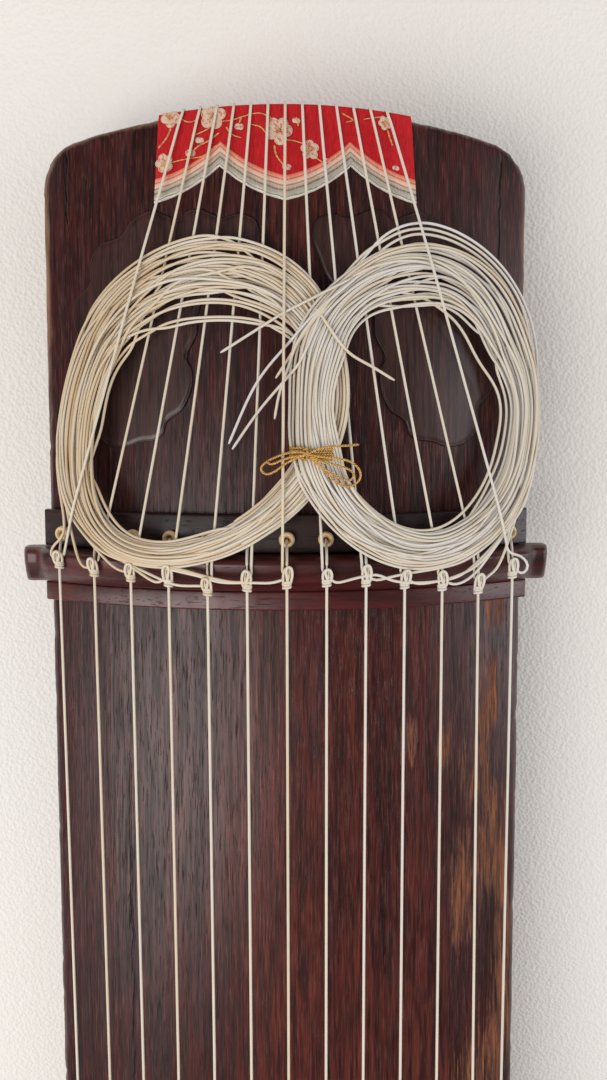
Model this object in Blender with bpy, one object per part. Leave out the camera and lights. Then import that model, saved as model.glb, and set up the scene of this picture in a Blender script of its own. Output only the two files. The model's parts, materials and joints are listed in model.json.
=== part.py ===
"""A thirteen-string koto with its spare string tied up in two rings. Metres, +Z up, tail towards +Y.

The koto stands on its own legs, as it is played. Places along it are given as a distance from the
tail end, and places across it as a distance from the middle, positive towards string one.
"""

import math

import bmesh
import bpy
import numpy as np
from mathutils import Matrix, Vector

for old in list(bpy.data.objects):
    bpy.data.objects.remove(old, do_unlink=True)

# Body
LENGTH = 1.82
TAIL_WIDTH = 0.240
HEAD_WIDTH = 0.255
SHELL_SIDE_HEIGHT = 0.038
CROWN_RISE = 0.030
ARCH_RISE = 0.015
TAIL_BOW = 0.0125
TAIL_CORNER_RADIUS = 0.017
TOP_WALL = 0.018
SIDE_WALL = 0.0085
TAIL_BLOCK_LENGTH = 0.045
HEAD_BLOCK_LENGTH = 0.030
BACK_BOARD_THICKNESS = 0.008
REAR_FOOT_HEIGHT = 0.022
FRONT_LEG_HEIGHT = 0.052
REAR_FOOT_PLACE = 0.29
FRONT_LEG_SETBACK = 0.12
FOOT_INSET = 0.038
REAR_FOOT_WIDTH = 0.034
REAR_FOOT_DEPTH = 0.024
FRONT_LEG_WIDTH = 0.046
FRONT_LEG_DEPTH = 0.030
REAR_FOOT_WAIST_SHARE = 0.90
FRONT_LEG_WAIST_SHARE = 0.62

# Clearance between pieces that touch, and the narrowest facet that a surface may have
GAP = 0.0003
LEAST_FACET = 0.002
EDGE_CHAMFER = 0.001

# How far a cutter reaches past the wall that it opens
CUTTER_REACH = 0.010

# Sound holes in the back board
TAIL_SOUND_HOLE_PLACE = 0.133
HEAD_SOUND_HOLE_SETBACK = 0.27
SOUND_HOLE_LENGTH = 0.066
SOUND_HOLE_WIDTH = 0.116

# Inner braces
BRACE_PLACES = {"brace_tail": 0.50, "brace_middle": 0.93, "brace_head": 1.36}
BRACE_THICKNESS = 0.010
BRACE_OPENING_WIDTH = 0.130
BRACE_OPENING_HEIGHT = 0.020

# Tail ridge, its strip and the block with the string holes
TAIL_CREST_PLACE = 0.2085
TAIL_RIDGE_START = 0.2055
TAIL_RIDGE_DEPTH = 0.0180
TAIL_RIDGE_HEIGHT = 0.020
TAIL_RIDGE_OVERHANG = 0.0112
RIDGE_SHOULDER_RADIUS = 0.0042
RIDGE_STRIP_DEPTH = 0.0092
RIDGE_STRIP_HEIGHT = 0.0045
HOLE_BLOCK_DEPTH = 0.0180
HOLE_BLOCK_HEIGHT = 0.0055
BLOCK_OVERHANG = 0.0015

# Head ridge, plate and end board
HEAD_RIDGE_SETBACK = 0.125
HEAD_RIDGE_DEPTH = 0.014
HEAD_RIDGE_HEIGHT = 0.017
HEAD_RIDGE_SPAN = 0.222
INLAY_WIDTH = 0.004
INLAY_HEIGHT = 0.0012
INLAY_INSET = 0.002
HEAD_PLATE_THICKNESS = 0.0025
HEAD_PLATE_MARGIN = 0.004
HEAD_BOARD_THICKNESS = 0.006
TONGUE_WIDTH = 0.120
TONGUE_HEIGHT = 0.036
TONGUE_THICKNESS = 0.004

# Strings, counted from the player's far side
STRING_COUNT = 13
STRING_DIAMETER = 0.0015
TAIL_RIDGE_PITCH = 0.0183
HEAD_RIDGE_PITCH = 0.0155
TAIL_END_PITCH = 0.00785
TAIL_HOLE_PITCH = 0.0184
SOUND_HOLE_PITCH = 0.0050
SOUND_HOLE_ENTRY = 0.0070
TAIL_HOLE_PLACE = 0.1985
HEAD_HOLE_SETBACK = 0.028
HOLE_RADIUS = 0.0018
HOLE_SLANT = 0.88
HOLE_RUN_BELOW = 0.012
DRILL_START = 0.005
BUSH_RADIUS = 0.0037
BUSH_HEIGHT = 0.0020
BUSH_BORE_RADIUS = 0.0014
BUSH_SIDES = 6
BUSH_SINK = 0.0002
BUSH_RAIL_WIDTH = 0.0050
BUSH_RAIL_THICKNESS = 0.0007
STOP_KNOT_RADIUS = 0.0028
STOP_KNOT_LENGTH = 0.006
KNOT_PLACE = 0.2180
KNOT_LENGTH = 0.0078
KNOT_RADIUS = 0.0025
RETURN_OFFSET = 0.0020
LEAD_REACH = 0.006

# The spare end's small loop beside its knot: towards the middle, back from the knot and up
LEAD_LOOP = ((0.0006, 0.0045, 0.0), (0.0022, 0.0015, 0.002), (0.0028, 0.0030, 0.0055))

# How far across its ring a spare end may come down, as shares of the ring's half width
LANDING_SHARES = {"left": (-0.80, 0.80), "right": (-0.80, 0.52)}

# Movable bridges: distance of each from the head ridge, strings one to thirteen
BRIDGE_DISTANCES = (
    0.659, 0.988, 0.880, 0.784, 0.659, 0.587, 0.494,
    0.440, 0.392, 0.330, 0.294, 0.247, 0.220,
)
BRIDGE_HEIGHT = 0.055
BRIDGE_FOOT_SPAN = 0.044
BRIDGE_FOOT_WIDTH = 0.008
BRIDGE_FOOT_DEPTH = 0.013
BRIDGE_TOP_DEPTH = 0.006
BRIDGE_TOP_WIDTH = 0.008
BRIDGE_ARCH_HEIGHT = 0.019
BRIDGE_NOTCH_WIDTH = 0.0026
BRIDGE_NOTCH_DEPTH = 0.0012

# Tail cloth
CLOTH_HALF_WIDTH = 0.0588
CLOTH_THICKNESS = 0.0009
CLOTH_SPREAD = 1.2
CLOTH_UNDER_LENGTH = 0.018
SCALLOP_TIP = 0.0418
SCALLOP_CUSP = 0.0262
SCALLOP_SHAPE = 1.25
TRIM_WIDTH = 0.011

# Leaf plates: the right one's outline, (across, from the tail end)
LEAF_THICKNESS = 0.0009
LEAF_OUTLINE = (
    (0.0300, 0.0494), (0.0216, 0.0478), (0.0141, 0.0506), (0.0121, 0.0579), (0.0146, 0.0651),
    (0.0197, 0.0769), (0.0290, 0.0840), (0.0390, 0.0880), (0.0415, 0.0937), (0.0421, 0.1024),
    (0.0471, 0.1136), (0.0447, 0.1192), (0.0450, 0.1276), (0.0498, 0.1380), (0.0573, 0.1437),
    (0.0594, 0.1494), (0.0634, 0.1523), (0.0710, 0.1533), (0.0792, 0.1558), (0.0880, 0.1540),
    (0.0950, 0.1460), (0.0945, 0.1370), (0.1010, 0.1290), (0.1040, 0.1170), (0.1000, 0.1060),
    (0.1040, 0.0970), (0.1030, 0.0850), (0.0950, 0.0770), (0.0950, 0.0680), (0.0890, 0.0590),
    (0.0790, 0.0560), (0.0730, 0.0490), (0.0640, 0.0450), (0.0570, 0.0470), (0.0501, 0.0495),
    (0.0452, 0.0456), (0.0386, 0.0455),
)

# Rings of spare string: (middle across, middle from the tail end, half width, half length)
RING_OUTER = {"left": (-0.0410, 0.1335, 0.0672, 0.0740), "right": (0.0640, 0.1305, 0.0607, 0.0795)}
RING_INNER = {"left": (-0.0425, 0.1420, 0.0492, 0.0555), "right": (0.0680, 0.1395, 0.0417, 0.0550)}
RING_LOOPS = 8
RING_LAYERS = 2
LOOP_POINTS = 24
COIL_CLEARANCE = 0.0008
RING_MARGIN = 0.003

# Where the rings cross: its middle across, and the runs over which a ring rises
CROSSING_ACROSS = 0.0165
CROSSING_RISE = (0.014, 0.045)
TIE_RISE = (0.012, 0.045)
OVER_LEFT_RISE = (0.029, 0.062)

# Gold tie round both rings
TIE_DIAMETER = 0.0013
TIE_PLACE = 0.1585
TIE_TURNS = 2
TIE_PITCH = 0.0024
TIE_CLEARANCE = 0.0004

# Stations of the faceted surfaces: across as shares of the half width, along as distances
ACROSS = (-1.0, -0.96, -0.89, -0.78, -0.64, -0.48, -0.32, -0.16, 0.0,
          0.16, 0.32, 0.48, 0.64, 0.78, 0.89, 0.96, 1.0)
ARCH_SEGMENTS = 10

# Worked out from the sizes above
STRING_RADIUS = STRING_DIAMETER / 2
STRING_SEAT = GAP + STRING_RADIUS
TAIL_RIDGE_END = TAIL_RIDGE_START + TAIL_RIDGE_DEPTH
HOLE_BLOCK_START = TAIL_RIDGE_START - GAP - HOLE_BLOCK_DEPTH
HEAD_RIDGE_PLACE = LENGTH - HEAD_RIDGE_SETBACK
RIDGE_TO_RIDGE = HEAD_RIDGE_PLACE - TAIL_CREST_PLACE
FRONT_LEG_PLACE = LENGTH - FRONT_LEG_SETBACK
HEAD_SOUND_HOLE_PLACE = LENGTH - HEAD_SOUND_HOLE_SETBACK
HEAD_HOLE_PLACE = HEAD_RIDGE_PLACE + HEAD_HOLE_SETBACK
HEAD_OVERHANG = 2 * GAP + HEAD_BOARD_THICKNESS + TONGUE_THICKNESS
TAIL_OVERHANG = 2 * GAP + CLOTH_THICKNESS + STRING_DIAMETER
TAIL_Y = (LENGTH + HEAD_OVERHANG - TAIL_OVERHANG) / 2
SIDE_HEIGHT = BACK_BOARD_THICKNESS + GAP + SHELL_SIDE_HEIGHT
ARCH_PLACES = [LENGTH * i / ARCH_SEGMENTS for i in range(ARCH_SEGMENTS + 1)]


def half_width(place):
    return (TAIL_WIDTH + (HEAD_WIDTH - TAIL_WIDTH) * place / LENGTH) / 2


def arch(place):
    """Rise of the lengthwise arch, straight between its stations, as the body is faceted."""
    rises = [ARCH_RISE * (1 - (1 - 2 * at / LENGTH) ** 2) for at in ARCH_PLACES]
    return float(np.interp(place, ARCH_PLACES, rises))


def base(place):
    """Underside of the back board: the tail stands on low feet and the head on taller legs."""
    span = FRONT_LEG_PLACE - REAR_FOOT_PLACE
    tilt = (FRONT_LEG_HEIGHT - REAR_FOOT_HEIGHT) / span
    return REAR_FOOT_HEIGHT + tilt * (place - REAR_FOOT_PLACE) + arch(place) - arch(REAR_FOOT_PLACE)


def crown(share):
    """Rise of the crowned top at a share of the half width, straight between its stations."""
    rises = [CROWN_RISE * (1 - at * at) for at in ACROSS]
    return float(np.interp(share, ACROSS, rises))


def deck(across, place):
    return base(place) + SIDE_HEIGHT + crown(across / half_width(place))


def tail_edge(across):
    """Distance from the tail end to the bowed and corner-rounded end of the body."""
    half = TAIL_WIDTH / 2
    into_corner = max(0.0, abs(across) - (half - TAIL_CORNER_RADIUS))
    rounding = TAIL_CORNER_RADIUS - math.sqrt(max(0.0, TAIL_CORNER_RADIUS**2 - into_corner**2))
    return TAIL_BOW * (across / half) ** 2 + rounding


def point(across, place, height):
    return Vector((across, TAIL_Y - place, height))


def on_deck(across, place, lift):
    return point(across, place, deck(across, place) + lift)


def material(name, color, roughness, metallic=0.0):
    made = bpy.data.materials.get(name) or bpy.data.materials.new(name)
    made.use_nodes = True
    shader = made.node_tree.nodes["Principled BSDF"]
    shader.inputs["Base Color"].default_value = (*color, 1.0)
    shader.inputs["Roughness"].default_value = roughness
    shader.inputs["Metallic"].default_value = metallic
    return made


PAULOWNIA = material("paulownia", (0.060, 0.022, 0.018), 0.45)
PLAIN_WOOD = material("plain_wood", (0.42, 0.28, 0.17), 0.7)
ROSEWOOD = material("rosewood", (0.090, 0.022, 0.020), 0.35)
DARK_ROSEWOOD = material("dark_rosewood", (0.045, 0.018, 0.018), 0.35)
BONE = material("bone", (0.70, 0.55, 0.33), 0.4)
STRING_YARN = material("string_yarn", (0.78, 0.74, 0.64), 0.5)
GOLD_CORD = material("gold_cord", (0.72, 0.45, 0.12), 0.35, 0.6)
RED_BROCADE = material("red_brocade", (0.45, 0.006, 0.012), 0.7)
TRIM_RIBBON = material("trim_ribbon", (0.62, 0.42, 0.36), 0.6)


def finish(mesh, name, made_of, smooth_angle=None):
    """Make an object of a bmesh, with its faces pointing out."""
    bmesh.ops.recalc_face_normals(mesh, faces=mesh.faces)
    data = bpy.data.meshes.new(name)
    mesh.to_mesh(data)
    mesh.free()
    data.materials.append(made_of)
    if smooth_angle is not None:
        data.shade_smooth()
        data.set_sharp_from_angle(angle=smooth_angle)
    made = bpy.data.objects.new(name, data)
    bpy.context.scene.collection.objects.link(made)
    return made


def add_slab(mesh, upper, lower):
    """Add a closed solid between two grids of points with the same rows and columns."""
    high = [[mesh.verts.new(p) for p in row] for row in upper]
    low = [[mesh.verts.new(p) for p in row] for row in lower]
    rows = len(upper) - 1
    columns = len(upper[0]) - 1
    for j in range(rows):
        for i in range(columns):
            mesh.faces.new((high[j][i], high[j][i + 1], high[j + 1][i + 1], high[j + 1][i]))
            mesh.faces.new((low[j][i], low[j + 1][i], low[j + 1][i + 1], low[j][i + 1]))
    for j in range(rows):
        for i in (0, columns):
            mesh.faces.new((high[j][i], high[j + 1][i], low[j + 1][i], low[j][i]))
    for i in range(columns):
        for j in (0, rows):
            mesh.faces.new((high[j][i], high[j][i + 1], low[j][i + 1], low[j][i]))


def slab(name, upper, lower, made_of, smooth_angle=None):
    mesh = bmesh.new()
    add_slab(mesh, upper, lower)
    return finish(mesh, name, made_of, smooth_angle)


def cut(target, cutters):
    """Cut solids out of an object with exact Booleans, which stay on it as modifiers."""
    for number, cutter in enumerate(cutters, 1):
        cutter.hide_render = True
        cutter.display_type = "WIRE"
        modifier = target.modifiers.new(f"cut_{number}", "BOOLEAN")
        modifier.operation = "DIFFERENCE"
        modifier.object = cutter


def tube(name, route, diameter, made_of, swells=()):
    """A round cord along a list of points, thicker where a swell gives an index and a factor."""
    data = bpy.data.curves.new(name, "CURVE")
    data.dimensions = "3D"
    data.bevel_depth = diameter / 2
    data.bevel_resolution = 1
    data.use_fill_caps = True
    spline = data.splines.new("POLY")
    spline.points.add(len(route) - 1)
    for knot, place in zip(spline.points, route):
        knot.co = (*place, 1.0)
    for index, factor in swells:
        spline.points[index].radius = factor
    spline.use_smooth = True
    data.materials.append(made_of)
    made = bpy.data.objects.new(name, data)
    bpy.context.scene.collection.objects.link(made)
    return made


def arc_round(corner, radius, start_angle, end_angle, steps):
    """Points of (place, height) round a corner, angles measured from +place towards +height."""
    swept = []
    for step in range(steps + 1):
        angle = math.radians(start_angle + (end_angle - start_angle) * step / steps)
        swept.append((corner[0] + radius * math.cos(angle), corner[1] + radius * math.sin(angle)))
    return swept


def body_rows(first_place, last_place):
    """The arch stations between two places, with both ends."""
    inside = [at for at in ARCH_PLACES if first_place + LEAST_FACET < at < last_place - LEAST_FACET]
    return [first_place, *inside, last_place]


def body_columns(place, overhang=0.0):
    """Places across the full width at the crown's stations, with an overhang past each side."""
    half = half_width(place)
    inner = [share * half for share in ACROSS]
    if overhang:
        return [-half - overhang, *inner, half + overhang]
    return inner


def hole_seat(across, place, surface):
    """Where the axis of a string hole crosses the surface that its bush sits on."""
    return on_deck(across, place, surface)


def hole_run(across, surface, slant):
    """The axis of a string hole from its seat down to just under the top wall."""
    return Vector((across * (slant - 1), 0.0, -(surface + TOP_WALL + HOLE_RUN_BELOW)))


def hole_cutters(name, pitch, place, surface, slant):
    """One straight drill per string, from above its seat down past the top wall."""
    mesh = bmesh.new()
    for number in range(STRING_COUNT):
        across = (number - (STRING_COUNT - 1) / 2) * pitch
        run = hole_run(across, surface, slant)
        seat = hole_seat(across, place, surface)
        top = seat - run.normalized() * DRILL_START
        bottom = seat + run
        axis = bottom - top
        turn = Vector((0, 0, 1)).rotation_difference(axis).to_matrix().to_4x4()
        placed = Matrix.Translation((top + bottom) / 2) @ turn
        bmesh.ops.create_cone(
            mesh, cap_ends=True, segments=6, radius1=HOLE_RADIUS, radius2=HOLE_RADIUS,
            depth=axis.length, matrix=placed,
        )
    return finish(mesh, name, DARK_ROSEWOOD)


def make_top_shell():
    """The carved body: crowned top, sides, a solid tail end and a solid head end."""
    upper, lower = [], []
    for row, place in enumerate(body_rows(0.0, LENGTH)):
        columns = body_columns(place)
        places = [tail_edge(x) if row == 0 else place for x in columns]
        upper.append([on_deck(x, at, 0.0) for x, at in zip(columns, places)])
        lower.append([
            point(x, at, base(at) + BACK_BOARD_THICKNESS + GAP) for x, at in zip(columns, places)
        ])
    shell = slab("top_shell", upper, lower, PAULOWNIA, math.radians(35))

    upper, lower = [], []
    for place in body_rows(TAIL_BLOCK_LENGTH, LENGTH - HEAD_BLOCK_LENGTH):
        inner_half = half_width(place) - SIDE_WALL
        columns = [max(-inner_half, min(inner_half, x)) for x in body_columns(place)[1:-1]]
        upper.append([point(x, place, roof(x, place)) for x in columns])
        lower.append([point(x, place, base(place) - CUTTER_REACH) for x in columns])
    hollow = slab("hollow_cutter", upper, lower, PLAIN_WOOD)
    cut(shell, [hollow, TAIL_DRILLS, HEAD_DRILLS])
    return shell


def roof(across, place):
    """Underside of the top wall."""
    return deck(across, place) - TOP_WALL


TAIL_DRILLS = hole_cutters(
    "tail_hole_drills", TAIL_HOLE_PITCH, TAIL_HOLE_PLACE, HOLE_BLOCK_HEIGHT, HOLE_SLANT
)
HEAD_DRILLS = hole_cutters(
    "head_hole_drills", HEAD_RIDGE_PITCH, HEAD_HOLE_PLACE, GAP + HEAD_PLATE_THICKNESS, 1.0
)


def sound_hole_edge(across):
    """Where the tail sound hole ends, towards the tail, at a place across."""
    radius = SOUND_HOLE_LENGTH / 2
    into_end = max(0.0, abs(across) - (SOUND_HOLE_WIDTH / 2 - radius))
    return TAIL_SOUND_HOLE_PLACE - math.sqrt(radius**2 - into_end**2)


def oval_cutter(name, place):
    """A sound hole: a rounded slot across the back board."""
    mesh = bmesh.new()
    half_length = SOUND_HOLE_LENGTH / 2
    straight = SOUND_HOLE_WIDTH / 2 - half_length
    ring = []
    steps = 6
    for side in (1, -1):
        for step in range(steps + 1):
            angle = math.pi * (step / steps - 0.5)
            across = side * (straight + half_length * math.cos(angle))
            along = side * half_length * math.sin(angle)
            ring.append(point(across, place - along, base(place) - CUTTER_REACH))
    face = mesh.faces.new([mesh.verts.new(p) for p in ring])
    raised = bmesh.ops.extrude_face_region(mesh, geom=[face])["geom"]
    for item in raised:
        if isinstance(item, bmesh.types.BMVert):
            item.co.z += BACK_BOARD_THICKNESS + 2 * CUTTER_REACH
    return finish(mesh, name, PLAIN_WOOD)


def make_back_board():
    upper, lower = [], []
    for row, place in enumerate(body_rows(0.0, LENGTH)):
        columns = body_columns(place)[::2]
        places = [tail_edge(x) if row == 0 else place for x in columns]
        upper.append([point(x, at, base(at) + BACK_BOARD_THICKNESS) for x, at in zip(columns, places)])
        lower.append([point(x, at, base(at)) for x, at in zip(columns, places)])
    board = slab("back_board", upper, lower, PLAIN_WOOD)
    cut(board, [
        oval_cutter("tail_sound_hole", TAIL_SOUND_HOLE_PLACE),
        oval_cutter("head_sound_hole", HEAD_SOUND_HOLE_PLACE),
    ])
    return board


def make_braces():
    """Arched cross walls that stand on the back board and carry the top."""
    for name, place in BRACE_PLACES.items():
        ends = (place - BRACE_THICKNESS / 2, place + BRACE_THICKNESS / 2)
        inner_half = half_width(place) - SIDE_WALL - GAP
        shares = [share for share in ACROSS if abs(share) * half_width(place) < inner_half - LEAST_FACET]
        columns = [-inner_half, *[share * half_width(place) for share in shares], inner_half]
        mesh = bmesh.new()
        upper = [[point(x, at, roof(x, at) - GAP) for x in columns] for at in ends]
        lower = [
            [point(x, at, base(at) + BACK_BOARD_THICKNESS + GAP + brace_arch(x)) for x in columns]
            for at in ends
        ]
        add_slab(mesh, upper, lower)
        finish(mesh, name, PLAIN_WOOD)


def brace_arch(across):
    """Height of the opening under a brace."""
    share = min(1.0, abs(across) / (BRACE_OPENING_WIDTH / 2))
    return BRACE_OPENING_HEIGHT * math.sqrt(1 - share**4)


def deck_bar(name, made_of, profile, overhang, half_span=None):
    """A bar across the deck: a profile of (place, height) points swept along the crown."""
    upper, lower = [], []
    for place, height in profile:
        columns = body_columns(place, overhang)
        if half_span is not None:
            inner = [x for x in body_columns(place) if abs(x) < half_span - LEAST_FACET]
            columns = [-half_span, *inner, half_span]
        upper.append([on_deck(x, place, height) for x in columns])
        lower.append([on_deck(x, place, GAP) for x in columns])
    return slab(name, upper, lower, made_of, math.radians(40))


def make_tail_ridge():
    start, end = TAIL_RIDGE_START, TAIL_RIDGE_END
    crest = TAIL_CREST_PLACE
    slope = end - crest
    high = TAIL_RIDGE_HEIGHT
    profile = (
        (start, high * 0.72),
        ((start + crest) / 2, high * 0.95),
        (crest, high),
        (crest + slope * 0.28, high * 0.94),
        (crest + slope * 0.62, high * 0.76),
        (crest + slope * 0.90, high * 0.50),
        (end, high * 0.28),
    )
    ridge = deck_bar("tail_ridge", ROSEWOOD, profile, TAIL_RIDGE_OVERHANG)
    strip_start = end + GAP
    strip = (
        (strip_start, RIDGE_STRIP_HEIGHT),
        (strip_start + RIDGE_STRIP_DEPTH - EDGE_CHAMFER, RIDGE_STRIP_HEIGHT),
        (strip_start + RIDGE_STRIP_DEPTH, RIDGE_STRIP_HEIGHT - EDGE_CHAMFER),
    )
    deck_bar("tail_ridge_strip", ROSEWOOD, strip, BLOCK_OVERHANG)
    block_start = HOLE_BLOCK_START
    block = (
        (block_start, HOLE_BLOCK_HEIGHT - EDGE_CHAMFER),
        (block_start + EDGE_CHAMFER, HOLE_BLOCK_HEIGHT),
        (block_start + HOLE_BLOCK_DEPTH, HOLE_BLOCK_HEIGHT),
    )
    holes = deck_bar("string_hole_block", DARK_ROSEWOOD, block, BLOCK_OVERHANG)
    cut(holes, [TAIL_DRILLS])
    return ridge


def make_head():
    """The head: ridge, pale inlay, plate round the holes, end board and its tongue."""
    middle = HEAD_RIDGE_PLACE
    half = HEAD_RIDGE_DEPTH / 2
    high = HEAD_RIDGE_HEIGHT
    profile = (
        (middle - half, high * 0.5),
        (middle - INLAY_WIDTH, high),
        (middle + INLAY_WIDTH, high),
        (middle + half, high * 0.5),
    )
    deck_bar("head_ridge", ROSEWOOD, profile, 0.0, HEAD_RIDGE_SPAN / 2)
    upper, lower = [], []
    for place in (middle - INLAY_WIDTH / 2, middle + INLAY_WIDTH / 2):
        half_span = HEAD_RIDGE_SPAN / 2 - INLAY_INSET
        inner = [x for x in body_columns(place) if abs(x) < half_span - LEAST_FACET]
        columns = [-half_span, *inner, half_span]
        upper.append([on_deck(x, place, high + GAP + INLAY_HEIGHT) for x in columns])
        lower.append([on_deck(x, place, high + GAP) for x in columns])
    slab("head_ridge_inlay", upper, lower, BONE)

    plate_start = middle + half + HEAD_PLATE_MARGIN
    rows = body_rows(plate_start, LENGTH)
    upper = [[on_deck(x, at, GAP + HEAD_PLATE_THICKNESS) for x in body_columns(at)] for at in rows]
    lower = [[on_deck(x, at, GAP) for x in body_columns(at)] for at in rows]
    plate = slab("head_plate", upper, lower, DARK_ROSEWOOD)
    cut(plate, [HEAD_DRILLS])

    board_start = LENGTH + GAP
    rows = (board_start, board_start + HEAD_BOARD_THICKNESS)
    columns = body_columns(LENGTH)
    upper = [[point(x, at, deck(x, LENGTH)) for x in columns] for at in rows]
    lower = [[point(x, at, base(LENGTH)) for x in columns] for at in rows]
    slab("head_end_board", upper, lower, DARK_ROSEWOOD)

    mesh = bmesh.new()
    back = board_start + HEAD_BOARD_THICKNESS + GAP
    height = base(LENGTH) + (SIDE_HEIGHT + CROWN_RISE) / 2
    rings = []
    for depth, shrink in ((0.0, 1.0), (TONGUE_THICKNESS * 0.6, 1.0), (TONGUE_THICKNESS, 0.88)):
        ring = []
        for step in range(24):
            angle = 2 * math.pi * step / 24
            across = TONGUE_WIDTH / 2 * shrink * math.cos(angle)
            rise = TONGUE_HEIGHT / 2 * shrink * math.sin(angle)
            ring.append(mesh.verts.new(point(across, back + depth, height + rise)))
        rings.append(ring)
    for first, second in zip(rings, rings[1:]):
        for step in range(24):
            after = (step + 1) % 24
            mesh.faces.new((first[step], first[after], second[after], second[step]))
    mesh.faces.new(rings[0])
    mesh.faces.new(rings[-1])
    finish(mesh, "dragon_tongue", ROSEWOOD)


def deck_normal(across, place):
    """Direction square to the deck at a point."""
    step = BUSH_RADIUS
    rise = on_deck(across + step, place, 0) - on_deck(across - step, place, 0)
    run = on_deck(across, place - step, 0) - on_deck(across, place + step, 0)
    return rise.cross(run).normalized()


def make_bushes(name, pitch, place, surface, slant):
    """Turned bone bushes on one thin rail along the wood, with the strings' bores."""
    upper, lower = [], []
    half_span = (STRING_COUNT - 1) / 2 * pitch + BUSH_RADIUS * 0.8
    for at in (place - BUSH_RAIL_WIDTH / 2, place + BUSH_RAIL_WIDTH / 2):
        inner = [x for x in body_columns(at) if abs(x) < half_span - LEAST_FACET]
        columns = [-half_span, *inner, half_span]
        upper.append([on_deck(x, at, surface + GAP + BUSH_RAIL_THICKNESS) for x in columns])
        lower.append([on_deck(x, at, surface + GAP) for x in columns])
    rail = slab(name, upper, lower, BONE, math.radians(50))
    collars = bmesh.new()
    bores = bmesh.new()
    for number in range(STRING_COUNT):
        across = (number - (STRING_COUNT - 1) / 2) * pitch
        normal = deck_normal(across, place)
        seat = hole_seat(across, place, surface + GAP + BUSH_SINK)
        turn = Vector((0, 0, 1)).rotation_difference(normal).to_matrix().to_4x4()
        bmesh.ops.create_cone(
            collars, cap_ends=True, segments=BUSH_SIDES, radius1=BUSH_RADIUS,
            radius2=BUSH_RADIUS * 0.72, depth=BUSH_HEIGHT,
            matrix=Matrix.Translation(seat + normal * BUSH_HEIGHT / 2) @ turn,
        )
        axis = -hole_run(across, surface, slant)
        turn = Vector((0, 0, 1)).rotation_difference(axis).to_matrix().to_4x4()
        placed = Matrix.Translation(hole_seat(across, place, surface)) @ turn
        bmesh.ops.create_cone(
            bores, cap_ends=True, segments=BUSH_SIDES, radius1=BUSH_BORE_RADIUS,
            radius2=BUSH_BORE_RADIUS, depth=2 * DRILL_START, matrix=placed,
        )
    collars = finish(collars, f"{name}_collars", BONE)
    collars.hide_render = True
    collars.display_type = "WIRE"
    joined = rail.modifiers.new("collars", "BOOLEAN")
    joined.operation = "UNION"
    joined.object = collars
    cut(rail, [finish(bores, f"{name}_bores", BONE)])
    return rail


def plate_on_deck(name, outline, thickness, made_of):
    """A thin plate of any outline that follows the crowned and arched deck."""
    mesh = bmesh.new()
    mesh.faces.new([mesh.verts.new((x, -at, 0.0)) for x, at in outline])
    ends = (0.0, LENGTH)
    for share in ACROSS:
        near = Vector((share * half_width(ends[0]), -ends[0], 0.0))
        far = Vector((share * half_width(ends[1]), -ends[1], 0.0))
        normal = (far - near).cross(Vector((0, 0, 1))).normalized()
        parts = [*mesh.verts, *mesh.edges, *mesh.faces]
        bmesh.ops.bisect_plane(mesh, geom=parts, plane_co=near, plane_no=normal)
    for place in ARCH_PLACES[1:-1]:
        parts = [*mesh.verts, *mesh.edges, *mesh.faces]
        bmesh.ops.bisect_plane(mesh, geom=parts, plane_co=(0, -place, 0), plane_no=(0, 1, 0))
    bottom = list(mesh.verts)
    raised = bmesh.ops.extrude_face_region(mesh, geom=list(mesh.faces))["geom"]
    top = [item for item in raised if isinstance(item, bmesh.types.BMVert)]
    for group, lift in ((bottom, GAP), (top, GAP + thickness)):
        for corner in group:
            corner.co = on_deck(corner.co.x, -corner.co.y, lift)
    return finish(mesh, name, made_of)


def make_leaves():
    plate_on_deck("leaf_plate_right", LEAF_OUTLINE, LEAF_THICKNESS, PAULOWNIA)
    mirrored = [(-x, at) for x, at in LEAF_OUTLINE]
    plate_on_deck("leaf_plate_left", mirrored, LEAF_THICKNESS, PAULOWNIA)


def scallop(across):
    """Outer edge of the trim: three pointed tips with two cusps between them."""
    span = CLOTH_HALF_WIDTH / 2
    to_tip = abs((abs(across) + span) % (2 * span) - span) / span
    rise = 1 - min(1.0, to_tip) ** SCALLOP_SHAPE
    return SCALLOP_CUSP + (SCALLOP_TIP - SCALLOP_CUSP) * rise


def cloth_columns():
    half = CLOTH_HALF_WIDTH
    return [half * step / 6 for step in range(-6, 7)]


def cloth_across(column, place):
    """The cloth widens a little from the tail end towards its lower edge."""
    return column * (1 + CLOTH_SPREAD * max(0.0, place))


def cloth_path(column, offset):
    """From under the tail, round the end and up over the deck, at an offset from the wood."""
    edge = tail_edge(column)
    low = arc_round((edge, base(edge)), offset, 270, 180, 2)
    high = arc_round((edge, deck(column, edge)), offset, 180, 90, 2)
    under = point(column, CLOTH_UNDER_LENGTH, base(CLOTH_UNDER_LENGTH) - offset)
    over = []
    lower_edge = scallop(column) - TRIM_WIDTH - GAP
    for place in (edge + (lower_edge - edge) / 2, lower_edge):
        over.append(on_deck(cloth_across(column, place), place, offset))
    return [under, *[point(column, *pair) for pair in low + high], *over]


def make_cloth():
    inner = [cloth_path(column, GAP) for column in cloth_columns()]
    outer = [cloth_path(column, GAP + CLOTH_THICKNESS) for column in cloth_columns()]
    slab("tail_cloth", outer, inner, RED_BROCADE, math.radians(60))
    upper, lower = [], []
    for column in cloth_columns():
        places = (scallop(column) - TRIM_WIDTH, scallop(column))
        upper.append([on_deck(cloth_across(column, at), at, GAP + CLOTH_THICKNESS) for at in places])
        lower.append([on_deck(cloth_across(column, at), at, GAP) for at in places])
    slab("cloth_trim", upper, lower, TRIM_RIBBON)


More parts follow.
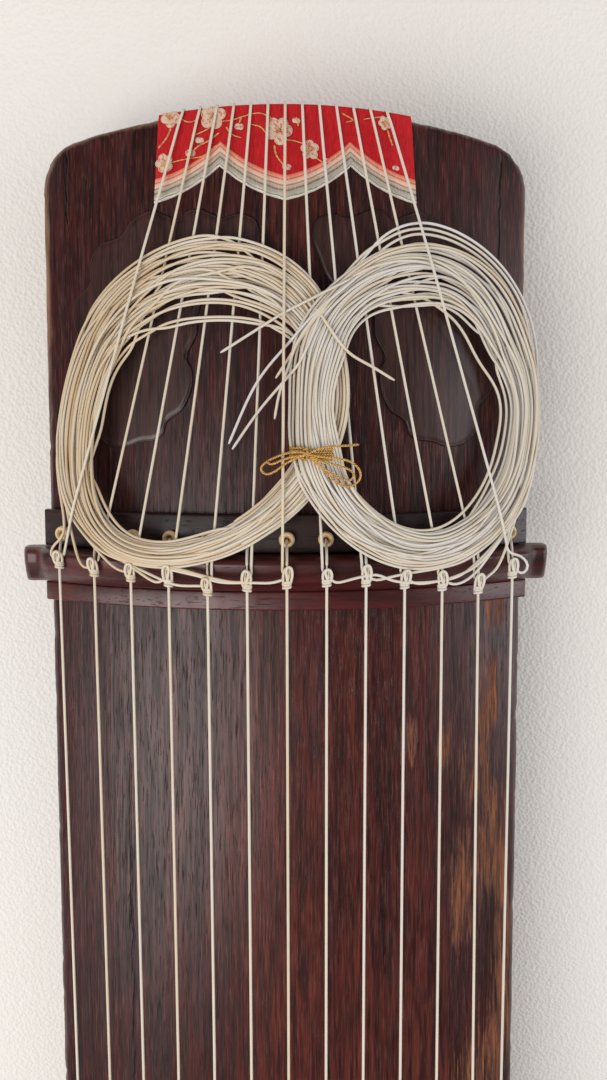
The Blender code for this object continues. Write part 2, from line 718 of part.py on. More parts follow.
def make_feet():
    """Two low rear feet and two taller, waisted front legs, cut flat where they stand."""
    kinds = {
        "rear_foot": (REAR_FOOT_PLACE, REAR_FOOT_WIDTH, REAR_FOOT_DEPTH, REAR_FOOT_WAIST_SHARE),
        "front_leg": (FRONT_LEG_PLACE, FRONT_LEG_WIDTH, FRONT_LEG_DEPTH, FRONT_LEG_WAIST_SHARE),
    }
    for kind, (place, width, depth, waist) in kinds.items():
        for side, word in ((-1, "left"), (1, "right")):
            middle = side * (half_width(place) - FOOT_INSET)
            mesh = bmesh.new()
            rings = []
            for share, spread in ((1.0, 1.0), (0.55, waist), (0.12, 0.9), (0.0, 0.86)):
                ring = []
                for x_side, y_side in ((-1, -1), (1, -1), (1, 1), (-1, 1)):
                    x = middle + x_side * width / 2 * spread
                    at = place + y_side * depth / 2 * spread
                    ring.append(mesh.verts.new(point(x, at, (base(at) - GAP) * share)))
                rings.append(ring)
            for first, second in zip(rings, rings[1:]):
                for corner in range(4):
                    after = (corner + 1) % 4
                    mesh.faces.new((first[corner], first[after], second[after], second[corner]))
            mesh.faces.new(rings[0])
            mesh.faces.new(rings[-1])
            finish(mesh, f"{kind}_{word}", DARK_ROSEWOOD)


def string_share(number):
    """Strings are counted from the player's far side, which is +X: one is +6 and thirteen is -6."""
    return (STRING_COUNT + 1) / 2 - number


def string_across(number, place):
    """Where a string runs between the two ridges, seen from above."""
    share = (place - TAIL_CREST_PLACE) / RIDGE_TO_RIDGE
    pitch = TAIL_RIDGE_PITCH + (HEAD_RIDGE_PITCH - TAIL_RIDGE_PITCH) * share
    return string_share(number) * pitch


def bridge_frame(number, place):
    """Middle of a bridge's feet on the deck, and its lean, so that its notch meets the string."""
    target = string_across(number, place)
    half = BRIDGE_FOOT_SPAN / 2
    across = target
    for _ in range(12):
        rise = deck(across + half, place) - deck(across - half, place)
        lean = -math.atan2(rise, 2 * half)
        across = target - BRIDGE_HEIGHT * math.sin(lean)
    middle = (deck(across + half, place) + deck(across - half, place)) / 2
    return point(across, place, middle + GAP), lean


def bridge_place(number):
    return HEAD_RIDGE_PLACE - BRIDGE_DISTANCES[number - 1]


def notch_height(number, place):
    """Where the string's centre lies over a bridge."""
    foot, lean = bridge_frame(number, place)
    return foot.z + (BRIDGE_HEIGHT - BRIDGE_NOTCH_DEPTH + STRING_SEAT) * math.cos(lean)


def bridge_outline():
    """Half of a bridge's outline from the middle of its arch to the middle of its notch."""
    outer = BRIDGE_FOOT_SPAN / 2
    inner = outer - BRIDGE_FOOT_WIDTH
    top = BRIDGE_TOP_WIDTH / 2
    high = BRIDGE_HEIGHT
    return (
        (inner * 0.45, BRIDGE_ARCH_HEIGHT * 0.88),
        (inner * 0.80, BRIDGE_ARCH_HEIGHT * 0.50),
        (inner, 0.0),
        (outer, 0.0),
        (outer * 0.94, high * 0.07),
        (outer * 0.62, high * 0.27),
        (outer * 0.36, high * 0.58),
        (top, high * 0.88),
        (top, high),
        (BRIDGE_NOTCH_WIDTH / 2, high),
        (BRIDGE_NOTCH_WIDTH / 2, high - BRIDGE_NOTCH_DEPTH),
    )


def make_bridges():
    """Each bridge stands square to the crown and slides along its string."""
    half_outline = bridge_outline()
    middle_arch = (0.0, BRIDGE_ARCH_HEIGHT)
    left_half = [(-a, b) for a, b in reversed(half_outline)]
    outline = [middle_arch, *half_outline, *left_half]
    for number in range(1, STRING_COUNT + 1):
        place = bridge_place(number)
        foot, lean = bridge_frame(number, place)
        mesh = bmesh.new()
        faces = []
        for side in (-1, 1):
            ring = []
            for a, b in outline:
                share = b / BRIDGE_HEIGHT
                depth = BRIDGE_FOOT_DEPTH + (BRIDGE_TOP_DEPTH - BRIDGE_FOOT_DEPTH) * share
                at = place + side * depth / 2
                x = foot.x + a * math.cos(lean) + b * math.sin(lean)
                z = foot.z - a * math.sin(lean) + b * math.cos(lean)
                if b == 0.0:
                    z = deck(x, at) + GAP
                ring.append(mesh.verts.new(point(x, at, z) - foot))
            faces.append(ring)
        for step in range(len(outline)):
            after = (step + 1) % len(outline)
            mesh.faces.new((faces[0][step], faces[0][after], faces[1][after], faces[1][step]))
        mesh.faces.new(faces[0])
        mesh.faces.new(faces[1])
        bridge = finish(mesh, f"bridge_{number:02d}", BONE)
        bridge.location = foot
        ahead, _ = bridge_frame(number, place - BRIDGE_FOOT_DEPTH)
        behind, _ = bridge_frame(number, place + BRIDGE_FOOT_DEPTH)
        axis = (ahead - behind).normalized()
        print(
            bridge.name, "origin", [round(v, 6) for v in foot], "axis", [round(v, 6) for v in axis]
        )


def return_across(number):
    """Where the returning end crosses the crest, beside its own string and nearer the middle."""
    share = string_share(number)
    side = 1 if share >= 0 else -1
    return share * TAIL_RIDGE_PITCH - side * RETURN_OFFSET


def return_height(across_share, place):
    """Height of the returning ends, as a surface ruled from the tail end to the crest."""
    end_across = across_share * TAIL_END_PITCH
    crest_across = across_share * TAIL_RIDGE_PITCH
    half = half_width(TAIL_CREST_PLACE)
    start = base(0.0) + SIDE_HEIGHT + CROWN_RISE * (1 - (end_across / half) ** 2)
    start += 2 * GAP + CLOTH_THICKNESS + STRING_RADIUS
    end = base(TAIL_CREST_PLACE) + SIDE_HEIGHT + CROWN_RISE * (1 - (crest_across / half) ** 2)
    end += TAIL_RIDGE_HEIGHT + STRING_SEAT
    return start + (end - start) * place / TAIL_CREST_PLACE


def rest_height(across, place):
    """Height of the returning ends under any point of the tail, where the rings lie on them."""
    pitch = TAIL_END_PITCH + (TAIL_RIDGE_PITCH - TAIL_END_PITCH) * place / TAIL_CREST_PLACE
    return return_height(across / pitch, min(place, TAIL_CREST_PLACE))


LAYER_STEP = STRING_DIAMETER + COIL_CLEARANCE
RING_THICKNESS = LAYER_STEP * (RING_LAYERS - 1) + STRING_DIAMETER
TIE_LIFT = TIE_DIAMETER + 2 * GAP
OVER_RINGS = {1: "right", 7: "left", 13: "left"}


def smooth_step(value, low, high):
    share = min(1.0, max(0.0, (value - low) / (high - low)))
    return share * share * (3 - 2 * share)


def ring_height(side, across, place):
    """Height of the centre of a ring's lowest layer, lifted over the tie and the other ring."""
    height = rest_height(across, place) + STRING_RADIUS + STRING_SEAT + COIL_CLEARANCE
    by_tie = 1 - smooth_step(abs(place - TIE_PLACE), *TIE_RISE)
    near_middle = 1 - smooth_step(abs(across - CROSSING_ACROSS), *CROSSING_RISE)
    height += TIE_LIFT * by_tie * near_middle
    if side == "right":
        over_left = 1 - smooth_step(across, *OVER_LEFT_RISE)
        height += (RING_THICKNESS + COIL_CLEARANCE) * over_left
    return height


def ring_point(side, share, angle, layer):
    """A point of a ring: share 0 is its outer oval and share 1 its inner one."""
    outer, inner = RING_OUTER[side], RING_INNER[side]
    sizes = [a + (b - a) * share for a, b in zip(outer, inner)]
    across = sizes[0] + sizes[2] * math.cos(angle)
    place = sizes[1] + sizes[3] * math.sin(angle)
    return point(across, place, ring_height(side, across, place) + layer * LAYER_STEP)


def ring_route(side):
    """Loops that spiral in and out again, climbing a layer in the half turn where they reverse."""
    turns_each = RING_LOOPS / RING_LAYERS
    total = RING_LOOPS * LOOP_POINTS
    start_angle = math.radians(100)
    route = []
    for step in range(total + 1):
        turns = step / LOOP_POINTS
        layer_number = min(RING_LAYERS - 1, int(turns / turns_each))
        within = turns / turns_each - layer_number
        share = within if layer_number % 2 == 0 else 1 - within
        climb = smooth_step(turns, turns_each - 0.25, turns_each + 0.25)
        angle = start_angle + 2 * math.pi * turns
        route.append(ring_point(side, share, angle, climb))
    return route


def least_gap_to_itself(route, diameter, skip):
    """Least clear gap between stretches of one tube that are not neighbours along it."""
    points = np.array([tuple(p) for p in route])
    fine = []
    for first, second in zip(points, points[1:]):
        for share in (0.0, 0.25, 0.5, 0.75):
            fine.append(first + (second - first) * share)
    fine = np.array(fine)
    least = 1.0
    for start in range(len(fine) - skip * 4):
        away = np.linalg.norm(fine[start + skip * 4:] - fine[start], axis=1)
        least = min(least, float(away.min()))
    return least - diameter


def make_rings():
    for side in ("left", "right"):
        route = ring_route(side)
        tube(f"coil_{side}", route, STRING_DIAMETER, STRING_YARN)
        gap = least_gap_to_itself(route, STRING_DIAMETER, LOOP_POINTS // 2)
        length = sum((b - a).length for a, b in zip(route, route[1:]))
        print(f"coil_{side} least gap {gap * 1000:.2f} mm, length {length:.2f} m")


def ring_edge(oval, side):
    """Where an oval crosses the tie's place, on the side that faces the other ring."""
    middle, along, half_across, half_along = oval
    reach = half_across * math.sqrt(1 - ((TIE_PLACE - along) / half_along) ** 2)
    return middle + reach if side == "left" else middle - reach


def make_tie():
    """The tie: turns round both rings where they run side by side."""
    edges = [ring_edge(ovals[side], side) for ovals in (RING_OUTER, RING_INNER)
             for side in ("left", "right")]
    left, right = min(edges), max(edges)
    top = max(ring_height("right", x, TIE_PLACE) for x in edges) + LAYER_STEP * (RING_LAYERS - 1)
    low_left = ring_height("left", left, TIE_PLACE)
    low_right = ring_height("left", right, TIE_PLACE)
    around = STRING_RADIUS + TIE_DIAMETER / 2 + TIE_CLEARANCE
    corners = ((right, top, 90), (right, low_right, 0), (left, low_left, -90), (left, top, -180))
    section = []
    for (across, height, start), after in zip(corners, (*corners[1:], corners[0])):
        arc = arc_round((across, height), around, start, start - 90, 3)
        section += arc
        next_start = arc_round(after[:2], around, after[2], after[2], 1)[0]
        for share in (1 / 3, 2 / 3):
            section.append(tuple(a + (b - a) * share for a, b in zip(arc[-1], next_start)))
    route = []
    for step in range(TIE_TURNS * LOOP_POINTS + 1):
        across, height = section[step % LOOP_POINTS]
        place = TIE_PLACE + TIE_PITCH * (step / LOOP_POINTS - TIE_TURNS / 2)
        route.append(point(across, place, height))
    tube("coil_tie", route, TIE_DIAMETER, GOLD_CORD)
    gap = least_gap_to_itself(route, TIE_DIAMETER, LOOP_POINTS // 2)
    print(f"coil_tie least gap {gap * 1000:.2f} mm")


def over_ring(number, side, place):
    """A point of a returning end that passes over a ring."""
    share = place / TAIL_CREST_PLACE
    across = string_share(number) * TAIL_END_PITCH
    across += (return_across(number) - across) * share
    top = ring_height(side, across, place) + RING_THICKNESS - STRING_RADIUS
    return point(across, place, top + STRING_SEAT + GAP)


def crossing_places(number, side):
    """Where a returning end comes onto a ring and leaves it, a little outside its outer oval."""
    middle, along, half_across, half_along = RING_OUTER[side]
    inside = []
    for step in range(200):
        share = step / 200
        place = TAIL_CREST_PLACE * share
        across = string_share(number) * TAIL_END_PITCH
        across += (return_across(number) - across) * share
        away = ((across - middle) / half_across) ** 2 + ((place - along) / half_along) ** 2
        if away < 1:
            inside.append(place)
    first = inside[0] - RING_MARGIN
    last = inside[-1] + RING_MARGIN
    return [first + (last - first) * step / 4 for step in range(5)]


def head_end_route(number):
    """A string's stop knot inside the head, its hole, bush and the head ridge."""
    across = string_share(number) * HEAD_RIDGE_PITCH
    ceiling = roof(across, HEAD_HOLE_PLACE)
    slope = abs(crown_slope(across, HEAD_HOLE_PLACE))
    stop = ceiling - GAP - STOP_KNOT_RADIUS * slope
    route = [point(across, HEAD_HOLE_PLACE, stop - drop) for drop in
             (STOP_KNOT_LENGTH, STOP_KNOT_LENGTH * 0.7, STOP_KNOT_LENGTH * 0.2, 0.0)]
    bush_lift = GAP + HEAD_PLATE_THICKNESS + BUSH_HEIGHT + 3 * GAP
    route.append(on_deck(across, HEAD_HOLE_PLACE, bush_lift))
    seat = HEAD_RIDGE_HEIGHT + GAP + INLAY_HEIGHT + STRING_SEAT + GAP
    route.append(on_deck(across, HEAD_RIDGE_PLACE + INLAY_WIDTH, seat))
    route.append(on_deck(across, HEAD_RIDGE_PLACE - INLAY_WIDTH, seat))
    return route


def crown_slope(across, place):
    step = STRING_DIAMETER
    return (deck(across + step, place) - deck(across - step, place)) / (2 * step)


def crest_point(number):
    """The middle of a string where it lies on the tail ridge."""
    across = string_share(number) * TAIL_RIDGE_PITCH
    height = deck(across, TAIL_CREST_PLACE) + TAIL_RIDGE_HEIGHT + STRING_SEAT
    return point(across, TAIL_CREST_PLACE, height)


def playing_route(number):
    """The string's run over its bridge, and the knot's place near the tail ridge."""
    place = bridge_place(number)
    notch = notch_height(number, place)
    route = []
    for side in (1, -1):
        at = place + side * (BRIDGE_TOP_DEPTH / 2 + GAP)
        route.append(point(string_across(number, place), at, notch))
    crest = crest_point(number)
    axis = (route[-1] - crest).normalized()
    middle = crest + axis * (KNOT_PLACE - TAIL_CREST_PLACE)
    for along in (0.5, 0.28, -0.28, -0.5):
        route.append(middle + axis * (KNOT_LENGTH * along))
    route.append(crest)
    return route


def tail_hole_route(number):
    """From the ridge down through the block and the shell, and out of the tail sound hole."""
    share = string_share(number)
    across = share * TAIL_RIDGE_PITCH
    foot = deck(across, TAIL_CREST_PLACE)
    shoulder = (TAIL_RIDGE_START, foot + TAIL_RIDGE_HEIGHT * 0.72)
    route = []
    for at, height in arc_round(shoulder, RIDGE_SHOULDER_RADIUS, 105, 150, 1):
        route.append(point(across, at, height))
    hole_across = share * TAIL_HOLE_PITCH
    seat = hole_seat(hole_across, TAIL_HOLE_PLACE, HOLE_BLOCK_HEIGHT)
    run = hole_run(hole_across, HOLE_BLOCK_HEIGHT, HOLE_SLANT)
    route.append(seat - run.normalized() * (BUSH_HEIGHT + 3 * GAP))
    route.append(seat + run)
    out_across = share * SOUND_HOLE_PITCH
    hole_edge = sound_hole_edge(out_across)
    board_top = base(hole_edge) + BACK_BOARD_THICKNESS
    route.append(point(out_across, hole_edge + SOUND_HOLE_ENTRY, board_top + 2 * STRING_SEAT))
    for at, height in arc_round((hole_edge, base(hole_edge)), STRING_SEAT * 1.6, 330, 270, 2):
        route.append(point(out_across, at, height))
    return route


def tail_end_route(number):
    """Under the tail, round its end over the cloth, and back to the crest of the tail ridge."""
    end_across = string_share(number) * TAIL_END_PITCH
    outside = 2 * GAP + CLOTH_THICKNESS + STRING_RADIUS
    edge = tail_edge(end_across)
    route = []
    for at, height in arc_round((edge, base(edge)), outside, 270, 180, 2):
        route.append(point(end_across, at, height))
    for at, height in arc_round((edge, deck(end_across, edge)), outside, 180, 90, 2):
        route.append(point(end_across, at, height))
    if number in OVER_RINGS:
        side = OVER_RINGS[number]
        route += [over_ring(number, side, at) for at in crossing_places(number, side)]
    return route


def lead_route(number):
    """The spare end: past the crest beside the knot, then up and back onto its ring."""
    share = string_share(number)
    side = 1 if share >= 0 else -1
    ring = "right" if share > 0 else "left"
    knot_across = crest_point(number).x
    height = deck(return_across(number), TAIL_CREST_PLACE) + TAIL_RIDGE_HEIGHT + STRING_SEAT + GAP
    route = [point(return_across(number), TAIL_CREST_PLACE, height)]
    for inward, back, up in LEAD_LOOP:
        across = knot_across - side * (RETURN_OFFSET + inward)
        route.append(point(across, KNOT_PLACE - back, height + up))
    middle, along, half_across, half_along = RING_OUTER[ring]
    landing_across = knot_across - side * LEAD_REACH
    least, most = LANDING_SHARES[ring]
    reach = max(least, min(most, (landing_across - middle) / half_across))
    landing = ring_point(ring, 0.10, math.acos(reach), RING_LAYERS - 1)
    landing.z += STRING_DIAMETER + COIL_CLEARANCE
    route.append(landing)
    return route


def string_route(number):
    """One string from the stop knot inside the head to the spare end on its ring."""
    head = head_end_route(number)
    playing = playing_route(number)
    first_of_knot = len(head) + 3
    stop = STOP_KNOT_RADIUS / STRING_RADIUS
    knot = KNOT_RADIUS / STRING_RADIUS
    swells = [(0, stop * 0.6), (1, stop), (2, stop), (first_of_knot, knot), (first_of_knot + 1, knot)]
    route = head + playing + tail_hole_route(number) + tail_end_route(number) + lead_route(number)
    return route, swells


def make_strings():
    for number in range(1, STRING_COUNT + 1):
        route, swells = string_route(number)
        tube(f"string_{number:02d}", route, STRING_DIAMETER, STRING_YARN, swells)
        length = sum((b - a).length for a, b in zip(route, route[1:]))
        print(f"string_{number:02d} length {length:.3f} m")


make_top_shell()
make_back_board()
make_braces()
make_tail_ridge()
make_head()
make_bushes(
    "tail_bushes", TAIL_HOLE_PITCH, TAIL_HOLE_PLACE, HOLE_BLOCK_HEIGHT, HOLE_SLANT
)
make_bushes(
    "head_bushes", HEAD_RIDGE_PITCH, HEAD_HOLE_PLACE, GAP + HEAD_PLATE_THICKNESS, 1.0
)
make_leaves()
make_cloth()
make_feet()
make_bridges()
make_strings()
make_rings()
make_tie()
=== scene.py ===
# %% [markdown]
# # A thirteen-string koto with its spare string tied up in two rings
# The scene dresses a finished set of rigid solids, which come in as a fixed frame of named bodies.
# Each cell makes one piece or one finish of the koto. The koto lies flat on its feet as it is
# played, with its tail towards +Y, and the camera looks down on the tail. Places along the koto are
# told as a distance from its tail end, and places across it as a distance from its middle.

import json
import math

import bmesh
import bpy
import numpy as np
from mathutils import Euler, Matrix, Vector, noise


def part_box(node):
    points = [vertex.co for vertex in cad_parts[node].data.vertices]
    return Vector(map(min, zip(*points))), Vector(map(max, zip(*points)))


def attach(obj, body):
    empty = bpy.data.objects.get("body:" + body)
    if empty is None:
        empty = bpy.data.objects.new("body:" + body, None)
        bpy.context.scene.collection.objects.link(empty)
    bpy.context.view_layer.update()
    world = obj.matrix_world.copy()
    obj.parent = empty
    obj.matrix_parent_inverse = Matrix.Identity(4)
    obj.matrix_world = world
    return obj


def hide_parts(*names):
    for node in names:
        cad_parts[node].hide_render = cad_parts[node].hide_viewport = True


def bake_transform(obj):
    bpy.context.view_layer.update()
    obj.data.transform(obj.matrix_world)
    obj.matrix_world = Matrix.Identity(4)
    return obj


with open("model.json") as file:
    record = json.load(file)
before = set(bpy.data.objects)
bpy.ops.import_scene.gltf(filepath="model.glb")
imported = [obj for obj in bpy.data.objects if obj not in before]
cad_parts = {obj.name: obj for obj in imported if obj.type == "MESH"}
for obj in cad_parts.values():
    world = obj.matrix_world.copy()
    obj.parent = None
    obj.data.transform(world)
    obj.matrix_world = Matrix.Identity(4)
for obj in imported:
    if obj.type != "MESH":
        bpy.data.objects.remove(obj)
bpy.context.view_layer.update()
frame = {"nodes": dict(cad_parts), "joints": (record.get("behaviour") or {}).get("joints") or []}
joints = {joint["name"]: joint for joint in frame["joints"]}

# %% [markdown]
# ## The body's measures
# A koto is a hollow log: crowned across, gently arched along, a little wider at the head. Every
# other piece lies on that curved top, so the top is written down once as a few functions, and they
# take whole arrays, so that thousands of points can be placed at a time.

# %% The body's measures
LENGTH = 1.82
TAIL_WIDTH = 0.240
HEAD_WIDTH = 0.255
CROWN_RISE = 0.030
ARCH_RISE = 0.015
TAIL_BOW = 0.0125
TAIL_CORNER_RADIUS = 0.017
BOARD_THICKNESS = 0.008
GAP = 0.0003
SIDE_HEIGHT = BOARD_THICKNESS + GAP + 0.038
TOP_WALL = 0.018
SIDE_WALL = 0.0085
TAIL_BLOCK_LENGTH = 0.045
HEAD_BLOCK_LENGTH = 0.030
REAR_FOOT_PLACE = 0.29
REAR_FOOT_HEIGHT = 0.022
FRONT_LEG_PLACE = LENGTH - 0.12
FRONT_LEG_HEIGHT = 0.052
TAIL_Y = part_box("top_shell")[1].y


def half_width(place):
    return (TAIL_WIDTH + (HEAD_WIDTH - TAIL_WIDTH) * place / LENGTH) / 2


def arch(place):
    return ARCH_RISE * (1 - (1 - 2 * place / LENGTH) ** 2)


def base(place):
    """The underside of the back board."""
    tilt = (FRONT_LEG_HEIGHT - REAR_FOOT_HEIGHT) / (FRONT_LEG_PLACE - REAR_FOOT_PLACE)
    return REAR_FOOT_HEIGHT + tilt * (place - REAR_FOOT_PLACE) + arch(place) - arch(REAR_FOOT_PLACE)


def deck(across, place):
    """The crowned top."""
    share = np.clip(np.abs(across) / half_width(place), 0.0, 1.0)
    return base(place) + SIDE_HEIGHT + CROWN_RISE * (1 - share**2)


def tail_edge(across):
    """How far the bowed end with its rounded corners stands back from the tail end."""
    half = TAIL_WIDTH / 2
    into_corner = np.clip(np.abs(across) - (half - TAIL_CORNER_RADIUS), 0.0, TAIL_CORNER_RADIUS)
    rounding = TAIL_CORNER_RADIUS - np.sqrt(TAIL_CORNER_RADIUS**2 - into_corner**2)
    return TAIL_BOW * (across / half) ** 2 + rounding


def points(across, place, height):
    """Rows of x, y, z from places on the koto."""
    across, place, height = np.broadcast_arrays(across, place, height)
    return np.stack([across, TAIL_Y - place, height], axis=-1).astype(float)


def on_deck(across, place, lift=0.0):
    return points(across, place, deck(across, place) + lift)


print("the tail's deck is", round(float(deck(0.0, 0.0)), 4), "m above the floor")

# %% [markdown]
# ## The camera
# The photograph was taken square-on to the tail of a koto that stood against a wall. Its place was
# worked out from the board's edges, the strings and the ridge, so it is set as plain numbers.

# %% The camera
camera_data = bpy.data.cameras.new("camera")
camera_data.lens = 30.0
camera_data.sensor_width = 36.0
camera = bpy.data.objects.new("camera", camera_data)
camera.location = (0.0008, TAIL_Y - 0.1392, float(base(0.0)) + SIDE_HEIGHT + 0.46736)
camera.rotation_euler = Euler([math.radians(angle) for angle in (-8.0503, -0.9758, -0.0681)], "XYZ")
bpy.context.scene.collection.objects.link(camera)
bpy.context.scene.camera = camera

# %% [markdown]
# ## Meshes from points
# Almost every piece is either a sheet over a grid of points or a tube along a line. One function
# makes a mesh with smooth shading and texture coordinates, and the others feed it.

# %% Meshes from points


def make_piece(name, corners, faces, surfaces, corner_uvs=None, tone=None, smooth=True):
    """An object from points and faces, with its own texture coordinates and a tone per point."""
    data = bpy.data.meshes.new(name)
    listed = faces.tolist() if isinstance(faces, np.ndarray) else faces
    data.from_pydata(np.asarray(corners, dtype=float).tolist(), [], listed)
    if smooth:
        data.shade_smooth()
    if corner_uvs is not None:
        layer = data.uv_layers.new(name="run")
        layer.data.foreach_set("uv", np.asarray(corner_uvs, dtype=np.float32).ravel())
    if tone is not None:
        attribute = data.attributes.new("tone", "FLOAT", "POINT")
        attribute.data.foreach_set("value", np.asarray(tone, dtype=np.float32))
    for surface in surfaces if isinstance(surfaces, (list, tuple)) else [surfaces]:
        data.materials.append(surface)
    piece = bpy.data.objects.new(name, data)
    bpy.context.scene.collection.objects.link(piece)
    return piece


def grid_faces(rows, columns, closed=False):
    """Quads of a grid, and the row and column of each of their corners."""
    wide = columns if closed else columns - 1
    row, column = np.meshgrid(np.arange(rows - 1), np.arange(wide), indexing="ij")
    row, column = row.ravel(), column.ravel()
    corner_rows = np.stack([row, row, row + 1, row + 1], axis=1)
    corner_columns = np.stack([column, column + 1, column + 1, column], axis=1)
    return corner_rows * columns + corner_columns % columns, corner_rows, corner_columns


def tube_parts(line, radius, sides=8, start=0, turn_per_metre=0.0):
    """Corners, faces and texture coordinates of a round tube along a line, with rounded ends."""
    line = np.asarray(line, dtype=float)
    along = np.gradient(line, axis=0)
    along /= np.linalg.norm(along, axis=1)[:, None]
    travelled = np.concatenate([[0.0], np.cumsum(np.linalg.norm(np.diff(line, axis=0), axis=1))])
    radii = np.broadcast_to(radius, len(line)).astype(float).copy()
    radii[0] *= 0.55
    radii[-1] *= 0.55
    side = np.cross(along[0], (0.0, 0.0, 1.0))
    if np.linalg.norm(side) < 0.1:
        side = np.cross(along[0], (1.0, 0.0, 0.0))
    frames = []
    for direction in along:
        side = side - direction * np.dot(side, direction)
        side /= np.linalg.norm(side)
        frames.append(side.copy())
    side = np.array(frames)
    other = np.cross(along, side)
    angles = np.arange(sides) * 2 * math.pi / sides
    spin = angles[None, :] + travelled[:, None] * turn_per_metre
    ring = side[:, None, :] * np.cos(spin)[..., None] + other[:, None, :] * np.sin(spin)[..., None]
    corners = (line[:, None, :] + ring * radii[:, None, None]).reshape(-1, 3)
    faces, corner_rows, corner_columns = grid_faces(len(line), sides, closed=True)
    uvs = np.stack([corner_columns / sides, travelled[corner_rows]], axis=-1).reshape(-1, 2)
    ends = []
    end_uvs = []
    for first, order in ((0, range(sides - 1, -1, -1)), ((len(line) - 1) * sides, range(sides))):
        ends.append([first + step + start for step in order])
        end_uvs += [(step / sides, travelled[-1 if first else 0]) for step in order]
    return corners, (faces + start).tolist() + ends, np.concatenate([uvs, end_uvs])


def make_tubes(name, lines, radius, surface, sides=8, tones=None, turn_per_metre=0.0):
    """One piece from one or more tubes, each with its own tone."""
    corners, faces, uvs, shades = [], [], [], []
    count = 0
    for number, line in enumerate(lines):
        thick = radius[number] if isinstance(radius, list) else radius
        some, quads, coordinates = tube_parts(line, thick, sides, count, turn_per_metre)
        corners.append(some)
        faces += quads
        uvs.append(coordinates)
        shade = 0.5 if tones is None else tones[number]
        shades.append(np.repeat(np.broadcast_to(shade, len(line)), sides))
        count += len(some)
    return make_piece(
        name, np.concatenate(corners), faces, surface, np.concatenate(uvs), np.concatenate(shades)
    )


# %% [markdown]
# ## Smooth lines
# A cord is drawn through a few places that it must pass. A Catmull-Rom curve goes through each of
# them with no sharp bend, and the result is spaced evenly, so that the tube's rings are even too.

# %% Smooth lines


def evenly(line, spacing):
    """The same line with evenly spaced points."""
    line = np.asarray(line, dtype=float)
    steps = np.linalg.norm(np.diff(line, axis=0), axis=1)
    travelled = np.concatenate([[0.0], np.cumsum(steps)])
    count = max(2, int(round(travelled[-1] / spacing)) + 1)
    at = np.linspace(0.0, travelled[-1], count)
    return np.stack([np.interp(at, travelled, line[:, axis]) for axis in range(3)], axis=1)


def curve_through(places, spacing=0.0015, closed=False):
    """A curve through places, spaced by the square root of their distances to avoid loops."""
    places = np.asarray(places, dtype=float)
    if closed:
        places = np.concatenate([places[-2:], places, places[:2]])
    else:
        ahead = places[0] * 2 - places[1]
        behind = places[-1] * 2 - places[-2]
        places = np.concatenate([[ahead], places, [behind]])
    made = []
    for a, b, c, d in zip(places, places[1:], places[2:], places[3:]):
        knots = np.cumsum([0.0, *[max(1e-6, np.linalg.norm(q - p)) ** 0.5
                                  for p, q in ((a, b), (b, c), (c, d))]])
        at = np.linspace(knots[1], knots[2], 17)[:-1, None]
        ab = (knots[1] - at) / (knots[1] - knots[0]) * a + (at - knots[0]) / (knots[1] - knots[0]) * b
        bc = (knots[2] - at) / (knots[2] - knots[1]) * b + (at - knots[1]) / (knots[2] - knots[1]) * c
        cd = (knots[3] - at) / (knots[3] - knots[2]) * c + (at - knots[2]) / (knots[3] - knots[2]) * d
        abc = (knots[2] - at) / (knots[2] - knots[0]) * ab + (at - knots[0]) / (knots[2] - knots[0]) * bc
        bcd = (knots[3] - at) / (knots[3] - knots[1]) * bc + (at - knots[1]) / (knots[3] - knots[1]) * cd
        made.append((knots[2] - at) / (knots[2] - knots[1]) * abc
                    + (at - knots[1]) / (knots[2] - knots[1]) * bcd)
    if closed:
        made = made[1:-1]
        line = np.concatenate([*made, made[0][:1]])
    else:
        line = np.concatenate([*made, places[-2][None]])
    return evenly(line, spacing)


def relaxed(line, times):
    """A line with its small kinks smoothed away and its ends kept."""
    line = np.array(line, dtype=float)
    for _ in range(times):
        line[1:-1] = (line[:-2] + 2 * line[1:-1] + line[2:]) / 4
    return line


def smooth_step(value, low, high):
    share = np.clip((value - low) / (high - low), 0.0, 1.0)
    return share * share * (3 - 2 * share)


def line_length(line):
    return float(np.linalg.norm(np.diff(line, axis=0), axis=1).sum())

# %% [markdown]
# ## A short way to write shaders
# A finish is easier to read as a sum than as a chart of boxes. Field wraps one output of a node and
# overloads + - * /, so that `1 - mask * 0.5` adds the Math nodes by itself. Paint holds one material
# and has one method that makes any other node. Relief is written in metres, and one Bump node turns
# the sum of all the reliefs into the surface's normal.

# %% Fields and paints


class Field:
    """A number that changes over a surface."""

    def __init__(self, paint, socket):
        self.paint = paint
        self.socket = socket

    def maths(self, operation, *values):
        return self.paint.node("ShaderNodeMath", {"operation": operation}, dict(enumerate(values)))

    def __add__(self, other):
        return self.maths("ADD", self, other)

    def __sub__(self, other):
        return self.maths("SUBTRACT", self, other)

    def __rsub__(self, other):
        return self.maths("SUBTRACT", other, self)

    def __mul__(self, other):
        return self.maths("MULTIPLY", self, other)

    def __truediv__(self, other):
        return self.maths("DIVIDE", self, other)

    __radd__ = __add__
    __rmul__ = __mul__

    def wave(self, waves_per_unit):
        """A sine from 0 to 1 that repeats so many times in each unit."""
        return self.maths("SINE", self * (2 * math.pi * waves_per_unit)) * 0.5 + 0.5

    def size(self):
        return self.maths("ABSOLUTE", self)

    def between(self, low, high):
        """0 below low, 1 above high and a soft step between them."""
        return self.paint.node(
            "ShaderNodeMapRange",
            {"interpolation_type": "SMOOTHSTEP"},
            {"Value": self, "From Min": low, "From Max": high},
        )


